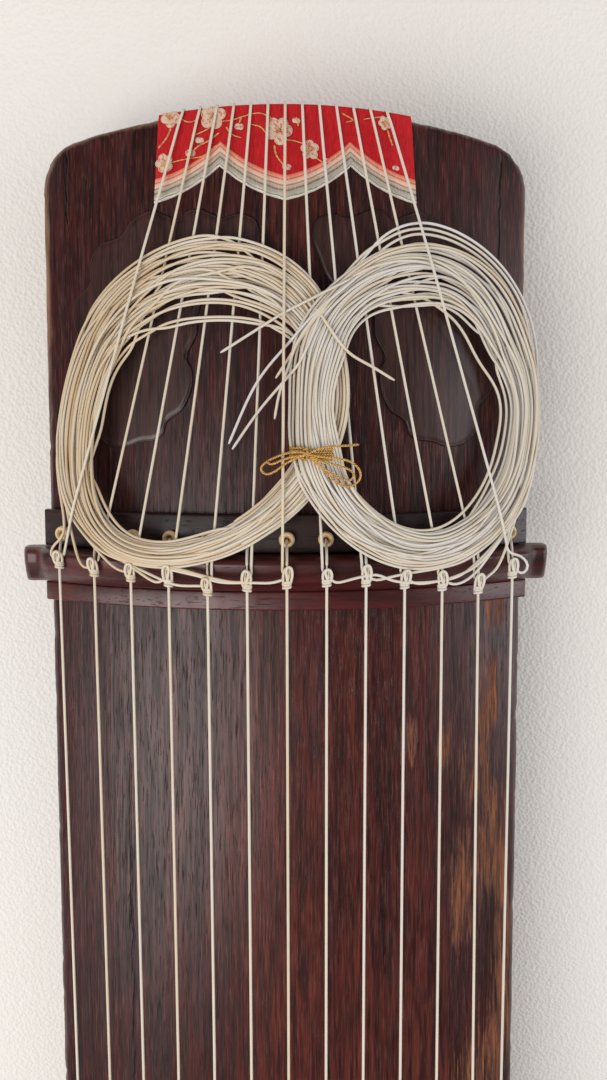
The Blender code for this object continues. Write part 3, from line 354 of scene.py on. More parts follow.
class Paint:
    """One finish, made of nodes."""

    def __init__(self, name, **even):
        self.material = bpy.data.materials.new(name)
        self.material.use_nodes = True
        self.tree = self.material.node_tree
        self.shader = self.tree.nodes["Principled BSDF"]
        for socket, value in even.items():
            self.shader.inputs[socket.replace("_", " ")].default_value = value
        self.place = self.node("ShaderNodeTexCoord", out="Object")
        self.run = self.node("ShaderNodeTexCoord", out="UV")

    def node(self, kind, settings=None, sockets=None, out=0):
        """Any node: its settings first, then values or links for its sockets, then one output."""
        made = self.tree.nodes.new(kind)
        for setting, value in (settings or {}).items():
            if setting == "stops":
                self.set_stops(made.color_ramp, value)
            else:
                setattr(made, setting, value)
        for key, value in (sockets or {}).items():
            self.feed(self.find(made.inputs, key), value)
        return Field(self, self.find(made.outputs, out))

    @staticmethod
    def find(group, key):
        if isinstance(key, int):
            return group[key]
        return next(socket for socket in group if key in (socket.identifier, socket.name))

    def feed(self, socket, value):
        if isinstance(value, Field):
            self.tree.links.new(value.socket, socket)
        elif isinstance(value, (tuple, list)) and len(socket.default_value) > len(value):
            socket.default_value = (*value, 1.0)
        else:
            socket.default_value = value

    @staticmethod
    def set_stops(ramp, stops):
        while len(ramp.elements) < len(stops):
            ramp.elements.new(1.0)
        for element, (place, color) in zip(ramp.elements, stops):
            element.position = place
            element.color = (*color, 1.0)

    def stretched(self, scale, shift=0.0, source=None):
        """Coordinates scaled by a number or three, and moved along to another part of the noise."""
        scaled = self.node(
            "ShaderNodeVectorMath", {"operation": "MULTIPLY"},
            {0: source or self.place, 1: np.broadcast_to(scale, 3).astype(float).tolist()},
        )
        return self.node("ShaderNodeVectorMath", {"operation": "ADD"},
                         {0: scaled, 1: (shift, shift * 0.7, shift * 1.3)})

    def grain(self, scale, detail=3.0, shift=0.0, source=None, rough=0.5):
        """Noise with so many features per metre along each axis."""
        return self.node("ShaderNodeTexNoise", {}, {
            "Vector": self.stretched(scale, shift, source), "Scale": 1.0, "Detail": detail,
            "Roughness": rough,
        })

    def cells(self, scale, shift=0.0, source=None, feature="F1"):
        return self.node("ShaderNodeTexVoronoi", {"feature": feature}, {
            "Vector": self.stretched(scale, shift, source), "Scale": 1.0,
        })

    def axis(self, name, source=None):
        return self.node("ShaderNodeSeparateXYZ", {}, {0: source or self.place}, name)

    def own(self, name):
        """A number that the mesh carries at each point."""
        return self.node("ShaderNodeAttribute", {"attribute_name": name}, {}, "Fac")

    def mix(self, share, first, second):
        return self.node("ShaderNodeMix", {"data_type": "RGBA"}, {
            "Factor_Float": share, "A_Color": first, "B_Color": second,
        }, "Result_Color")

    def ramp(self, share, *stops):
        return self.node("ShaderNodeValToRGB", {"stops": stops}, {"Fac": share}, "Color")

    def done(self, color, roughness=None, relief=None, metallic=None, coat=None):
        self.feed(self.shader.inputs["Base Color"], color)
        if roughness is not None:
            self.feed(self.shader.inputs["Roughness"], roughness)
        if metallic is not None:
            self.feed(self.shader.inputs["Metallic"], metallic)
        if coat is not None:
            self.feed(self.shader.inputs["Coat Weight"], coat)
        if relief is not None:
            bump = self.node("ShaderNodeBump", {}, {"Strength": 1.0, "Distance": 1.0,
                                                    "Height": relief}, "Normal")
            self.feed(self.shader.inputs["Normal"], bump)
        print("finish", self.material.name, "with", len(self.tree.nodes), "nodes")
        return self.material


# %% [markdown]
# ## String yarn
# The strings are twisted from fine filaments and pressed smooth, ivory when new and yellower where
# hands and light have aged them. Each length of string carries its own tone, so neighbours in a ring
# can be told apart, and a shallow spiral in the relief gives the twist.

# %% String yarn


def string_yarn():
    paint = Paint("polished_string", Specular_IOR_Level=0.45, Sheen_Weight=0.08)
    tone = paint.own("tone")
    cloud = paint.grain(55.0, 2.0, 3.1)
    fine = paint.grain((2200.0, 2200.0, 2200.0), 2.0, 7.7)
    around = paint.axis("X", paint.run)
    along = paint.axis("Y", paint.run)
    twist = (around + along * 260.0).wave(2.0)
    color = paint.ramp(
        tone + (cloud - 0.5) * 0.32,
        (0.0, (0.47, 0.32, 0.16)), (0.28, (0.58, 0.455, 0.305)), (0.55, (0.61, 0.540, 0.440)),
        (0.80, (0.60, 0.560, 0.515)), (1.0, (0.64, 0.625, 0.610)),
    )
    # painted shade: the colour darkens a little along the grooves of the twist
    shaded = paint.mix(twist.between(0.0, 0.4) * 0.08 + 0.92, (0.50, 0.38, 0.25), color)
    roughness = 0.40 + fine * 0.22
    return paint.done(shaded, roughness, twist * 0.000007 + fine * 0.000006)


STRING_YARN = string_yarn()
# %% [markdown]
# ## Where the returning strings lie
# Each string goes down a hole behind the tail ridge, comes out under the tail, turns up round the
# tail end and returns over the cloth to the ridge. The thirteen returning ends fan out as a ruled
# surface, and the two rings of spare string rest on it, so its height is needed first.

# %% Where the returning strings lie
STRING_COUNT = 13
STRING_DIAMETER = 0.0015
STRING_RADIUS = STRING_DIAMETER / 2
STRAND_RADIUS = STRING_RADIUS * 0.88
TAIL_CREST_PLACE = 0.2085
TAIL_RIDGE_HEIGHT = 0.020
TAIL_RIDGE_PITCH = 0.0183
TAIL_END_PITCH = 0.00785
RETURN_OFFSET = 0.0020
CLOTH_THICKNESS = 0.0009
STRING_SEAT = GAP + STRING_RADIUS


def string_share(number):
    """Strings are counted from the far side of the player, which is towards +X."""
    return (STRING_COUNT + 1) / 2 - number


def return_height(share, place):
    """Height of the returning string with this share, at a distance from the tail end."""
    half = half_width(TAIL_CREST_PLACE)
    start = base(0.0) + SIDE_HEIGHT + CROWN_RISE * (1 - (share * TAIL_END_PITCH / half) ** 2)
    start = start + 2 * GAP + CLOTH_THICKNESS + STRING_RADIUS
    end = base(TAIL_CREST_PLACE) + SIDE_HEIGHT
    end = end + CROWN_RISE * (1 - (share * TAIL_RIDGE_PITCH / half) ** 2)
    end = end + TAIL_RIDGE_HEIGHT + STRING_SEAT
    return start + (end - start) * place / TAIL_CREST_PLACE


def rest_height(across, place):
    """Height of the surface through all the returning strings."""
    near = np.minimum(place, TAIL_CREST_PLACE)
    pitch = TAIL_END_PITCH + (TAIL_RIDGE_PITCH - TAIL_END_PITCH) * near / TAIL_CREST_PLACE
    return return_height(across / pitch, near)


print("a ring's bed rises", round(float(rest_height(0, 0.2) - rest_height(0, 0.06)), 4), "m")

# %% [markdown]
# ## The rings' outlines
# Each ring is a bundle that somebody rolled up by hand, so it is no true oval. Its outer and inner
# edges are drawn through places a few centimetres apart. They are turned into a distance from the
# ring's middle for each of 96 directions, and a few harmonics of that distance keep them smooth.

# %% The rings' outlines
DIRECTIONS = 96
OUTLINES = {
    "left": (
        ((-39, 61), (-12, 64), (10, 78), (27, 116), (29, 136), (23, 156), (6, 182), (-21, 201),
         (-49, 209), (-77, 208), (-98, 196), (-109, 171), (-109, 143), (-102, 114), (-88, 87),
         (-67, 70)),
        ((-39, 91), (-58, 96), (-77, 112), (-88, 143), (-90, 170), (-80, 193), (-63, 199),
         (-44, 196), (-17, 182), (3, 161), (11, 134), (9, 112), (-5, 97), (-21, 92)),
    ),
    "right": (
        ((62, 58), (43, 63), (25, 77), (6, 102), (2, 134), (4, 169), (20, 194), (47, 211),
         (71, 213), (91, 206), (110, 190), (119, 172), (124, 148), (123, 118), (114, 92),
         (92, 66)),
        ((67, 86), (82, 89), (98, 110), (109, 138), (106, 157), (97, 176), (81, 189), (64, 193),
         (43, 184), (31, 172), (24, 150), (24, 120), (32, 98), (50, 88)),
    ),
}
RING_MIDDLES = {"left": (-0.041, 0.138), "right": (0.065, 0.136)}

# The left ring was rolled up clockwise as the camera sees it, and the right ring the other way
SENSES = {"left": 1, "right": -1}


def distances_round(outline, middle, sense):
    """Distance from the middle to an outline, in each direction, with only slow waves kept."""
    places = np.array(outline) / 1000 - middle
    angles = np.arctan2(places[:, 1], places[:, 0]) * sense
    order = np.argsort(angles % (2 * math.pi))
    directions = np.arange(DIRECTIONS) * 2 * math.pi / DIRECTIONS
    distances = np.interp(
        directions, (angles % (2 * math.pi))[order], np.hypot(*places.T)[order], period=2 * math.pi
    )
    waves = np.fft.rfft(distances)
    waves[9:] = 0
    return np.fft.irfft(waves, DIRECTIONS)


class Ring:
    """A ring's outlines, and the way from a direction and a distance to a place on the koto."""

    def __init__(self, side):
        self.side = side
        self.sense = SENSES[side]
        self.middle = np.array(RING_MIDDLES[side])
        outer, inner = OUTLINES[side]
        self.outer = distances_round(outer, self.middle, self.sense) - STRING_RADIUS
        self.inner = distances_round(inner, self.middle, self.sense) + STRING_RADIUS
        turns = np.arange(DIRECTIONS) * 2 * math.pi / DIRECTIONS * self.sense
        self.ways = np.stack([np.cos(turns), np.sin(turns)], axis=1)

    def place(self, step, distance):
        """Across and along, for a step round the ring and a distance from its middle."""
        spot = self.middle + self.ways[step % DIRECTIONS] * distance[..., None]
        return spot[..., 0], spot[..., 1]

    def nearest_step(self, across, along):
        away = np.array([across, along]) - self.middle
        angle = math.atan2(away[1], away[0]) * self.sense % (2 * math.pi)
        return int(round(angle / (2 * math.pi) * DIRECTIONS)), float(np.hypot(*away))


RINGS = {side: Ring(side) for side in OUTLINES}
for side, ring in RINGS.items():
    print(side, "ring is", round(float(np.mean(ring.outer - ring.inner)) * 1000, 1), "mm wide")

# %% [markdown]
# ## How each spare string runs
# Every string ends in a knot at the tail ridge. What is left over leaves the knot in a short lead,
# joins its ring and runs round it about five times. A few cut ends stick out over the middle. The
# leads and the cut ends are listed as places, in millimetres across and from the tail end.

# %% How each spare string runs
LEADS = {
    13: ((-114, 208), (-113, 203), (-107, 197), (-104, 191)),
    12: ((-96, 212.5), (-99, 208), (-101, 202), (-102, 194)),
    11: ((-79, 212), (-85, 207.5), (-91, 202)),
    10: ((-59, 217.5), (-65, 215), (-71, 211), (-78, 207.5)),
    9: ((-44, 218), (-51, 218), (-57, 216), (-64, 213)),
    8: ((-24, 216), (-35, 214), (-47, 211), (-52, 210)),
    7: ((-6, 216), (-17, 216), (-31, 216), (-40, 213.5), (-49, 210.5)),
    6: ((21, 216.5), (29, 215), (36, 213.5), (42, 213), (48, 216), (58, 217.5), (71, 217.5),
        (83, 215), (98, 205.5)),
    5: ((40, 216), (45, 215), (53, 213.5), (62, 211)),
    4: ((59, 218), (71, 217.5), (82, 215), (92, 210), (99, 203.5)),
    3: ((77, 219.5), (83, 219), (90, 214.5), (96, 207.5), (101, 202.5)),
    2: ((95, 217.5), (100, 214.5), (104, 207.5), (105, 201)),
    1: ((114, 217.5), (118, 214), (115, 209), (106, 205), (101, 202.5)),
}
CUT_ENDS = {
    5: ((8, 90), (-1, 94.5), (-12, 101), (-30, 112)),
    3: ((14, 94), (3, 106), (-13, 125), (-28, 157)),
    4: ((6, 107), (3, 112), (-7, 127)),
    2: ((6, 117), (-1, 125), (-13, 139), (-27, 159)),
    6: ((5, 108), (1, 119), (-3, 130), (-6, 146)),
    10: ((28, 112), (39, 118), (50, 124.5)),
}
KNOT_PLACES = (215.4, 221.3, 218.6, 216.7, 215.0, 214.6, 215.3, 216.7, 218.9, 215.3, 213.8, 212.3,
               209.6)
TURNS = {"left": 4.8, "right": 5.6}
STRAND_SEED = 11


def ring_of(number):
    return "right" if string_share(number) > 0 else "left"


def plan_strands(side):
    """For each spare string of a ring: its first step and how many steps it runs round."""
    ring = RINGS[side]
    plans = {}
    for number in range(1, STRING_COUNT + 1):
        if ring_of(number) != side:
            continue
        across, along = LEADS[number][-1]
        first, distance = ring.nearest_step(across / 1000, along / 1000)
        ahead = 3
        count = int(TURNS[side] * DIRECTIONS)
        if number in CUT_ENDS:
            leaving = np.array(CUT_ENDS[number][0]) / 1000
            steps = np.arange(DIRECTIONS)
            middle_line = ring.outer * 0.75 + ring.inner * 0.25
            spots = np.stack(ring.place(steps, middle_line), axis=1)
            running = np.roll(spots, -1, axis=0) - spots
            to_end = leaving - spots
            match = (running * to_end).sum(axis=1) / (
                np.linalg.norm(running, axis=1) * np.linalg.norm(to_end, axis=1) + 1e-9)
            match -= np.abs(np.linalg.norm(to_end, axis=1) - 0.022) * 8
            last = int(np.argmax(match))
            count = count // DIRECTIONS * DIRECTIONS + (last - first - ahead) % DIRECTIONS
        plans[number] = (first + ahead, count, distance)
    return plans


# %% [markdown]
# ## Letting the strands settle
# Strands of string that are rolled up don't cross each other's bodies: they lie side by side, climb
# over one another and sink until something holds them. Each strand is given the distance from the
# ring's middle that it would like to have, which wanders a little from half turn to half turn. Then
# all strands are stepped together many times: pulled to that distance, pulled down, straightened,
# and pushed apart wherever two are closer than one diameter. All directions are worked out at once.

# %% Letting the strands settle
PULL = 0.11
SINK = 0.00004
STIFF_ACROSS = 0.30
STIFF_UP = 0.55
SETTLE_STEPS = 420
WANDER = 0.45
CLUMPS = 5
CLUMPING = 0.030

# Strands that stay away from their ring: string, lap, direction out of 96, reach both ways, share of
# the ring's width from its outer edge. Direction 24 of the right ring and 72 of the left one point
# to the tail end.
STRAYS = ((3, 1, 17, 21, -0.30), (2, 2, 18, 18, -0.20), (5, 1, 19, 16, -0.10),
          (4, 2, 3, 31, 1.42), (6, 1, 92, 24, 1.20), (1, 3, 22, 18, 1.16),
          (11, 2, 74, 19, 1.26), (9, 1, 52, 20, 1.15), (12, 1, 66, 20, -0.10), (10, 2, 30, 18, 1.12))


def tail_side(steps, ring):
    """1 where a ring lies nearest to the tail end, 0 at its sides and beyond."""
    return np.maximum(0.0, -ring.ways[steps % DIRECTIONS][:, 1])


class Strands:
    """All strands of one ring as long arrays, with each one's neighbours along its string."""

    def __init__(self, side, plans, random):
        self.ring = RINGS[side]
        self.numbers = list(plans)
        self.spans = {}
        steps = []
        total = 0
        for number, (first, count, _) in plans.items():
            self.spans[number] = slice(total, total + count)
            steps.append(first + np.arange(count))
            total += count
        self.steps = np.concatenate(steps)
        before = np.arange(total) - 1
        after = np.arange(total) + 1
        for span in self.spans.values():
            before[span.start] = span.start
            after[span.stop - 1] = span.stop - 1
        self.before, self.after = before, after
        self.stations = self.station_table()
        self.wanted = self.wish(plans, random)
        self.distance = self.wanted.copy()
        self.height = np.zeros(total)

    def station_table(self):
        """For each direction, which points stand there, padded with -1."""
        lists = [np.flatnonzero(self.steps % DIRECTIONS == step) for step in range(DIRECTIONS)]
        table = np.full((DIRECTIONS, max(len(row) for row in lists)), -1)
        for step, row in enumerate(lists):
            table[step, :len(row)] = row
        return table

    def wish(self, plans, random):
        """Shares of the ring's width that wander from half turn to half turn, evenly spread."""
        half = DIRECTIONS // 2
        knots = {}
        for number, (first, count, distance) in plans.items():
            levels = np.arange(first // half, (first + count) // half + 2)
            value = random.normal()
            values = []
            for _ in levels:
                values.append(value)
                value = WANDER * value + math.sqrt(1 - WANDER**2) * random.normal()
            knots[number] = dict(zip(levels.tolist(), values))
        for parity in (0, 1):
            held = [(number, level) for number, row in knots.items() for level in row
                    if level % 2 == parity]
            ranks = np.argsort(np.argsort([knots[number][level] for number, level in held]))
            for (number, level), rank in zip(held, ranks):
                knots[number][level] = (rank + 0.5 + random.uniform(-0.4, 0.4)) / len(held)
        wanted = np.zeros(len(self.steps))
        for number, (first, count, distance) in plans.items():
            at = first + np.arange(count)
            levels = sorted(knots[number])
            shares = np.array([knots[number][level] for level in levels])
            base_level = at / half - levels[0]
            low = np.clip(base_level.astype(int), 0, len(levels) - 2)
            within = smooth_step(base_level - low, 0.0, 1.0)
            share = shares[low] * (1 - within) + shares[low + 1] * within
            share = share + CLUMPING * np.sin(2 * math.pi * CLUMPS * share + at / 31)
            spread = 0.30 * tail_side(at, self.ring)
            share = share + spread * (share - 0.40) * (2 * np.abs(share - 0.40)) ** 0.8
            outer = self.ring.outer[at % DIRECTIONS]
            inner = self.ring.inner[at % DIRECTIONS]
            lead_share = (outer[0] - distance) / (outer[0] - inner[0])
            joining = 1 - smooth_step(np.arange(count), 2, 20)
            share = share * (1 - joining) + np.clip(lead_share, -0.05, 0.8) * joining
            if number in CUT_ENDS:
                leaving = smooth_step(np.arange(count), count - 26, count - 1)
                share = share * (1 - leaving) + 0.22 * leaving
            for stray, lap, heading, reach, away in STRAYS:
                if stray == number:
                    passing = first - first % DIRECTIONS + lap * DIRECTIONS + heading
                    near = 1 - smooth_step(np.abs(at - passing), reach * 0.3, reach)
                    share = share * (1 - near) + away * near
            wanted[self.spans[number]] = outer + (inner - outer) * share
        return wanted

    def settle(self, floor, steps=SETTLE_STEPS):
        """Steps all strands together until they lie on each other; floor gives what is below."""
        table = np.maximum(self.stations, 0)
        there = self.stations >= 0
        pair = there[:, :, None] & there[:, None, :]
        pair &= ~np.eye(table.shape[1], dtype=bool)[None]
        order = np.zeros(len(self.steps))
        for number, span in self.spans.items():
            laps = (np.arange(span.stop - span.start) + self.numbers.index(number) * 17) / DIRECTIONS
            order[span] = laps
        self.height = floor(self.steps, self.distance) + order * 0.0011
        for step in range(steps):
            straight = (self.distance[self.before] + self.distance[self.after]) / 2
            wish_bend = (self.wanted[self.before] + self.wanted[self.after]) / 2 - self.wanted
            self.distance += STIFF_ACROSS * (straight - self.distance - wish_bend)
            self.distance += PULL * (self.wanted - self.distance)
            level = (self.height[self.before] + self.height[self.after]) / 2
            self.height += STIFF_UP * (level - self.height) - SINK
            for _ in range(2):
                out = self.distance[table]
                up = self.height[table]
                d_out = out[:, :, None] - out[:, None, :]
                d_up = up[:, :, None] - up[:, None, :]
                apart = np.sqrt(d_out**2 + d_up**2) + 1e-9
                short = np.where(pair & (apart < STRING_DIAMETER), STRING_DIAMETER - apart, 0.0)
                push_out = (short * d_out / apart).sum(axis=2) * 0.42
                push_up = (short * d_up / apart).sum(axis=2) * 0.42
                self.distance[table[there]] += push_out[there]
                self.height[table[there]] += push_up[there]
            self.height = np.maximum(self.height, floor(self.steps, self.distance))
        out = self.distance[table]
        up = self.height[table]
        apart = np.hypot(out[:, :, None] - out[:, None, :], up[:, :, None] - up[:, None, :])
        worst = np.where(pair, apart, 1.0).min(axis=(1, 2))
        print(self.ring.side, "strands", int(there.sum(axis=1).mean()), "closest",
              round(float(np.percentile(worst, 10)) * 1000, 2), "mm of", STRING_DIAMETER * 1000)

    def line(self, number):
        """The settled points of one string round its ring."""
        span = self.spans[number]
        across, along = self.ring.place(self.steps[span], self.distance[span])
        return points(across, along, self.height[span])


# %% [markdown]
# ## What lies under a strand
# The lowest strands rest on the returning strings. A gold tie passes under both rings where they
# meet, and the right ring lies over the left one there. A strand that crosses others at an angle
# touches them like one round bar on another, so its height above each is found from how far it is
# from that strand's line.

# %% What lies under a strand
TIE_DIAMETER = 0.0013
TIE_PLACE = 0.1575
TIE_ACROSS = (0.0022, 0.0205)
TIE_LIFT = TIE_DIAMETER + 2 * GAP


def bed(across, place):
    """Lowest height of a strand's centre over the returning strings and the tie."""
    lift = 1 - smooth_step(np.abs(place - TIE_PLACE), 0.010, 0.040)
    lift = lift * (1 - smooth_step(np.abs(across - 0.011), 0.014, 0.050))
    return rest_height(across, place) + STRING_DIAMETER + TIE_LIFT * lift


def over_lines(spots, laid):
    """Height at which a strand's centre would lie on strands that are already there."""
    spots = np.asarray(spots)
    result = np.full(len(spots), -1.0)
    for start in range(0, len(spots), 400):
        some = spots[start:start + 400]
        near = (laid[:, 0] > some[:, 0].min() - 0.002) & (laid[:, 0] < some[:, 0].max() + 0.002)
        held = laid[near]
        if not len(held):
            continue
        away = np.hypot(some[:, None, 0] - held[None, :, 0], some[:, None, 1] - held[None, :, 1])
        rise = np.sqrt(np.maximum(STRING_DIAMETER**2 - away**2, 0.0))
        tops = np.where(away < STRING_DIAMETER, held[None, :, 2] + rise, -1.0)
        result[start:start + 400] = tops.max(axis=1)
    return result


class Floor:
    """What is under a ring, looked up by direction and distance from its middle."""

    def __init__(self, ring, laid=None):
        self.low = ring.inner.min() - 0.006
        self.high = ring.outer.max() + 0.006
        self.bins = 110
        distances = np.linspace(self.low, self.high, self.bins)
        steps = np.repeat(np.arange(DIRECTIONS), self.bins)
        across, along = ring.place(steps, np.tile(distances, DIRECTIONS))
        heights = bed(across, along)
        if laid is not None:
            spots = np.stack([across, TAIL_Y - along], axis=1)
            order = np.argsort(spots[:, 0])
            tops = np.empty(len(spots))
            tops[order] = over_lines(spots[order], laid)
            heights = np.maximum(heights, tops)
        self.heights = heights.reshape(DIRECTIONS, self.bins)

    def __call__(self, steps, distance):
        at = np.clip((distance - self.low) / (self.high - self.low) * (self.bins - 1),
                     0, self.bins - 1.001)
        low = at.astype(int)
        share = at - low
        rows = self.heights[steps % DIRECTIONS, low]
        return rows * (1 - share) + self.heights[steps % DIRECTIONS, low + 1] * share


random = np.random.default_rng(STRAND_SEED)
settled = {}
laid = None
for side in ("left", "right"):
    strands = Strands(side, plan_strands(side), random)
    strands.settle(Floor(RINGS[side], laid), SETTLE_STEPS)
    settled[side] = strands
    lines = [evenly(strands.line(number), 0.0012) for number in strands.numbers]
    laid = np.concatenate(lines if laid is None else [laid, *lines])
# %% [markdown]
# ## The spare strings
# Now each spare string is one line: out of its knot, along its lead, round its ring and, for six of
# them, out to a cut end that shows. Leads climb over the neighbours' strings at the ridge. The cut
# ends lie on whatever is below them. Each is a tube of its own, with its real length.

# %% The spare strings
RUN_SPACING = 0.0022


def crest_height(number):
    share = string_share(number)
    across = share * TAIL_RIDGE_PITCH
    return float(deck(across, TAIL_CREST_PLACE)) + TAIL_RIDGE_HEIGHT + STRING_SEAT


def knot_place(number):
    return KNOT_PLACES[number - 1] / 1000


def lead_line(number, landing):
    """From the knot along the places that were read, rising gently to where it joins the ring."""
    side = 1 if string_share(number) >= 0 else -1
    side = -1 if number == 7 else side
    knot_across = string_share(number) * TAIL_RIDGE_PITCH
    flat = [(knot_across + side * 0.0012, knot_place(number) - 0.001)]
    flat += [(x / 1000, s / 1000) for x, s in LEADS[number][:-1]]
    line = []
    for step, (across, place) in enumerate(flat):
        share = step / len(flat)
        low = rest_height(across, place) + STRING_DIAMETER * 1.3
        start = crest_height(number) + 0.0012
        height = start * (1 - share) + landing[2] * share
        line.append(points(across, place, max(float(low), height)))
    return np.array(line)


def end_line(number, others, leaving):
    """The cut end that sticks out of a ring, lying on what is under it."""
    flat = np.array(CUT_ENDS[number]) / 1000
    spots = curve_through([leaving, *points(flat[:, 0], flat[:, 1], leaving[2])], 0.002)
    across, place = spots[:, 0], TAIL_Y - spots[:, 1]
    on_bed = rest_height(across, place) + STRING_DIAMETER
    tops = np.maximum(on_bed, over_lines(spots, others))
    tops[0] = leaving[2]
    line = spots.copy()
    line[:, 2] = tops
    for _ in range(60):
        line[1:-1, 2] = (line[:-2, 2] + 2 * line[1:-1, 2] + line[2:, 2]) / 4
        line[-1, 2] = line[-2, 2]
        line[1:, 2] = np.maximum(line[1:, 2], tops[1:] - 0.0002)
    return line[2:]


def spare_line(number):
    strands = settled[ring_of(number)]
    on_ring = strands.line(number)
    lead = lead_line(number, on_ring[0])
    joined = np.concatenate([lead, on_ring[1::2]])
    if number in CUT_ENDS:
        others = np.concatenate([
            evenly(settled[side].line(other), 0.0015)
            for side in settled for other in settled[side].numbers if other != number
        ])
        joined = np.concatenate([joined, end_line(number, others, on_ring[-1])[::3]])
    return relaxed(curve_through(joined, RUN_SPACING), 2)


SPARE_LINES = {number: spare_line(number) for number in range(1, STRING_COUNT + 1)}
tones = np.random.default_rng(4)


def strand_tones(line, number):
    """Left ring yellower, right ring whiter, with slow changes along each string."""
    warm = 0.42 if ring_of(number) == "left" else 0.62
    along = np.arange(len(line)) * RUN_SPACING
    slow = np.sin(along * 9.0 + number * 2.1) * 0.07 + np.sin(along * 23.0 + number) * 0.05
    inner_left = 1 - smooth_step(line[:, 0] + 0.072, 0.0, 0.03)
    return warm + tones.uniform(-0.16, 0.16) + slow - 0.16 * inner_left


for number, line in SPARE_LINES.items():
    piece = make_tubes(
        f"spare_string_{number:02d}", [line], STRAND_RADIUS, STRING_YARN, 8,
        [strand_tones(line, number)],
    )
    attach(piece, "instrument")
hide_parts("coil_right")
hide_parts("coil_left")
print("spare strings", [round(line_length(line), 2) for line in SPARE_LINES.values()])

# %% [markdown]
# ## The knots
# At the ridge each string is tied to its own returning end. The tie is a sheet bend with a slip
# loop: two small loops stand up beside each other and a few tight wraps close them round the string.
# The form is one line of places on a scale of its own, bent round the string at the crest.

# %% The knots
WRAP_TURNS = 1.7
WRAP_RADIUS = 0.00165
WRAP_LENGTH = 0.0021


def string_direction(number):
    """Direction of the playing string from the crest towards its bridge."""
    low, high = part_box(f"bridge_{number:02d}")
    place = TAIL_Y - (low.y + high.y) / 2
    far = points(string_across(number, place), place, high.z)
    near = points(string_share(number) * TAIL_RIDGE_PITCH, TAIL_CREST_PLACE, crest_height(number))
    return (far - near) / np.linalg.norm(far - near), near, far


HEAD_RIDGE_PLACE = LENGTH - 0.125
HEAD_RIDGE_PITCH = 0.0155


def string_across(number, place):
    """Where a string runs between the two ridges, seen from above."""
    share = (place - TAIL_CREST_PLACE) / (HEAD_RIDGE_PLACE - TAIL_CREST_PLACE)
    pitch = TAIL_RIDGE_PITCH + (HEAD_RIDGE_PITCH - TAIL_RIDGE_PITCH) * share
    return string_share(number) * pitch


def knot_lines(number):
    """The loops and the wraps, in places along the string, beside it and up from it."""
    along, crest, _ = string_direction(number)
    side = np.cross(along, (0.0, 0.0, 1.0))
    side /= np.linalg.norm(side)
    if side[0] < 0:
        side = -side
    up = np.cross(side, along)
    if up[2] < 0:
        up = -up
    lean = 1 if string_share(number) >= 0 else -1
    middle = crest + along * (knot_place(number) - TAIL_CREST_PLACE)

    def placed(rows):
        rows = np.asarray(rows) / 1000
        return (middle + rows[:, :1] * along + rows[:, 1:2] * side * lean + rows[:, 2:] * up)

    turn = np.linspace(0, WRAP_TURNS * 2 * math.pi, 30)
    wraps = np.stack([
        1.6 + turn / turn[-1] * WRAP_LENGTH * 1000,
        np.cos(turn) * WRAP_RADIUS * 1000,
        np.sin(turn) * WRAP_RADIUS * 1000,
    ], axis=1)
    loose = knot_random.uniform(0.85, 1.25)
    slant = knot_random.uniform(-0.12, 0.12)
    loop = [(1.6, 1.5, 0.6), (0.2, 2.0, 1.2), (-2.2, 2.3, 2.0), (-4.4, 1.6, 2.6), (-4.9, 0.4, 2.9),
            (-4.0, -0.5, 2.6), (-2.0, -0.3, 1.9), (0.2, 0.3, 1.7), (1.8, 0.9, 1.5)]
    second = [(1.7, -1.3, 0.8), (0.0, -1.7, 1.3), (-2.4, -1.6, 1.5), (-4.2, -0.7, 1.8),
              (-4.4, 0.5, 1.5), (-3.0, 1.0, 1.1), (-0.9, 0.6, 1.6), (1.2, 0.0, 1.7)]
    collar = [(1.2, 1.7, 0.0), (0.6, 0.9, 1.7), (0.9, -0.9, 1.7), (1.5, -1.8, 0.2),
              (1.0, -1.0, -1.3)]
    loops = []
    for rows in (loop, second):
        rows = np.array(rows)
        rows[:, 1] += rows[:, 0] * slant
        rows[:, 0] = 1.6 + (rows[:, 0] - 1.6) * loose
        loops.append(rows)
    return [curve_through(placed(rows), 0.0005) for rows in (wraps, *loops, collar)]


knots = []
knot_random = np.random.default_rng(21)
for number in range(1, STRING_COUNT + 1):
    lines = knot_lines(number)
    warm = 0.44 if ring_of(number) == "left" else 0.60
    knots += [(line, warm + tones.uniform(-0.08, 0.08)) for line in lines]
knot_piece = make_tubes(
    "string_knots", [line for line, _ in knots], STRAND_RADIUS, STRING_YARN, 8,
    [tone for _, tone in knots],
)
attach(knot_piece, "instrument")

# %% [markdown]
# ## The strings
# A string is one length that passes over fixed and movable pieces. The fixed stretch rides on the
# instrument. The two stretches at a bridge each run straight from a ridge to the bridge's notch, as
# pieces of their own.

# %% The strings
TAIL_RIDGE_START = 0.2055
TAIL_HOLE_PITCH = 0.0184
TAIL_HOLE_PLACE = 0.1985
HOLE_BLOCK_HEIGHT = 0.0055
HOLE_SLANT = 0.88
HOLE_RUN_BELOW = 0.012
SOUND_HOLE_PLACE = 0.133
SOUND_HOLE_LENGTH = 0.066
SOUND_HOLE_WIDTH = 0.116
SOUND_HOLE_PITCH = 0.0050
HEAD_HOLE_PLACE = HEAD_RIDGE_PLACE + 0.028
HEAD_PLATE_THICKNESS = 0.0025
HEAD_RIDGE_HEIGHT = 0.017
INLAY_WIDTH = 0.004
INLAY_HEIGHT = 0.0012
BUSH_HEIGHT = 0.0020
BRIDGE_TOP_DEPTH = 0.006


def arc_points(across, corner_place, corner_height, radius, start, end, count):
    """Points round a corner, with angles from the head's side up."""
    angles = np.radians(np.linspace(start, end, count))
    return points(
        across, corner_place + radius * np.cos(angles), corner_height + radius * np.sin(angles)
    )


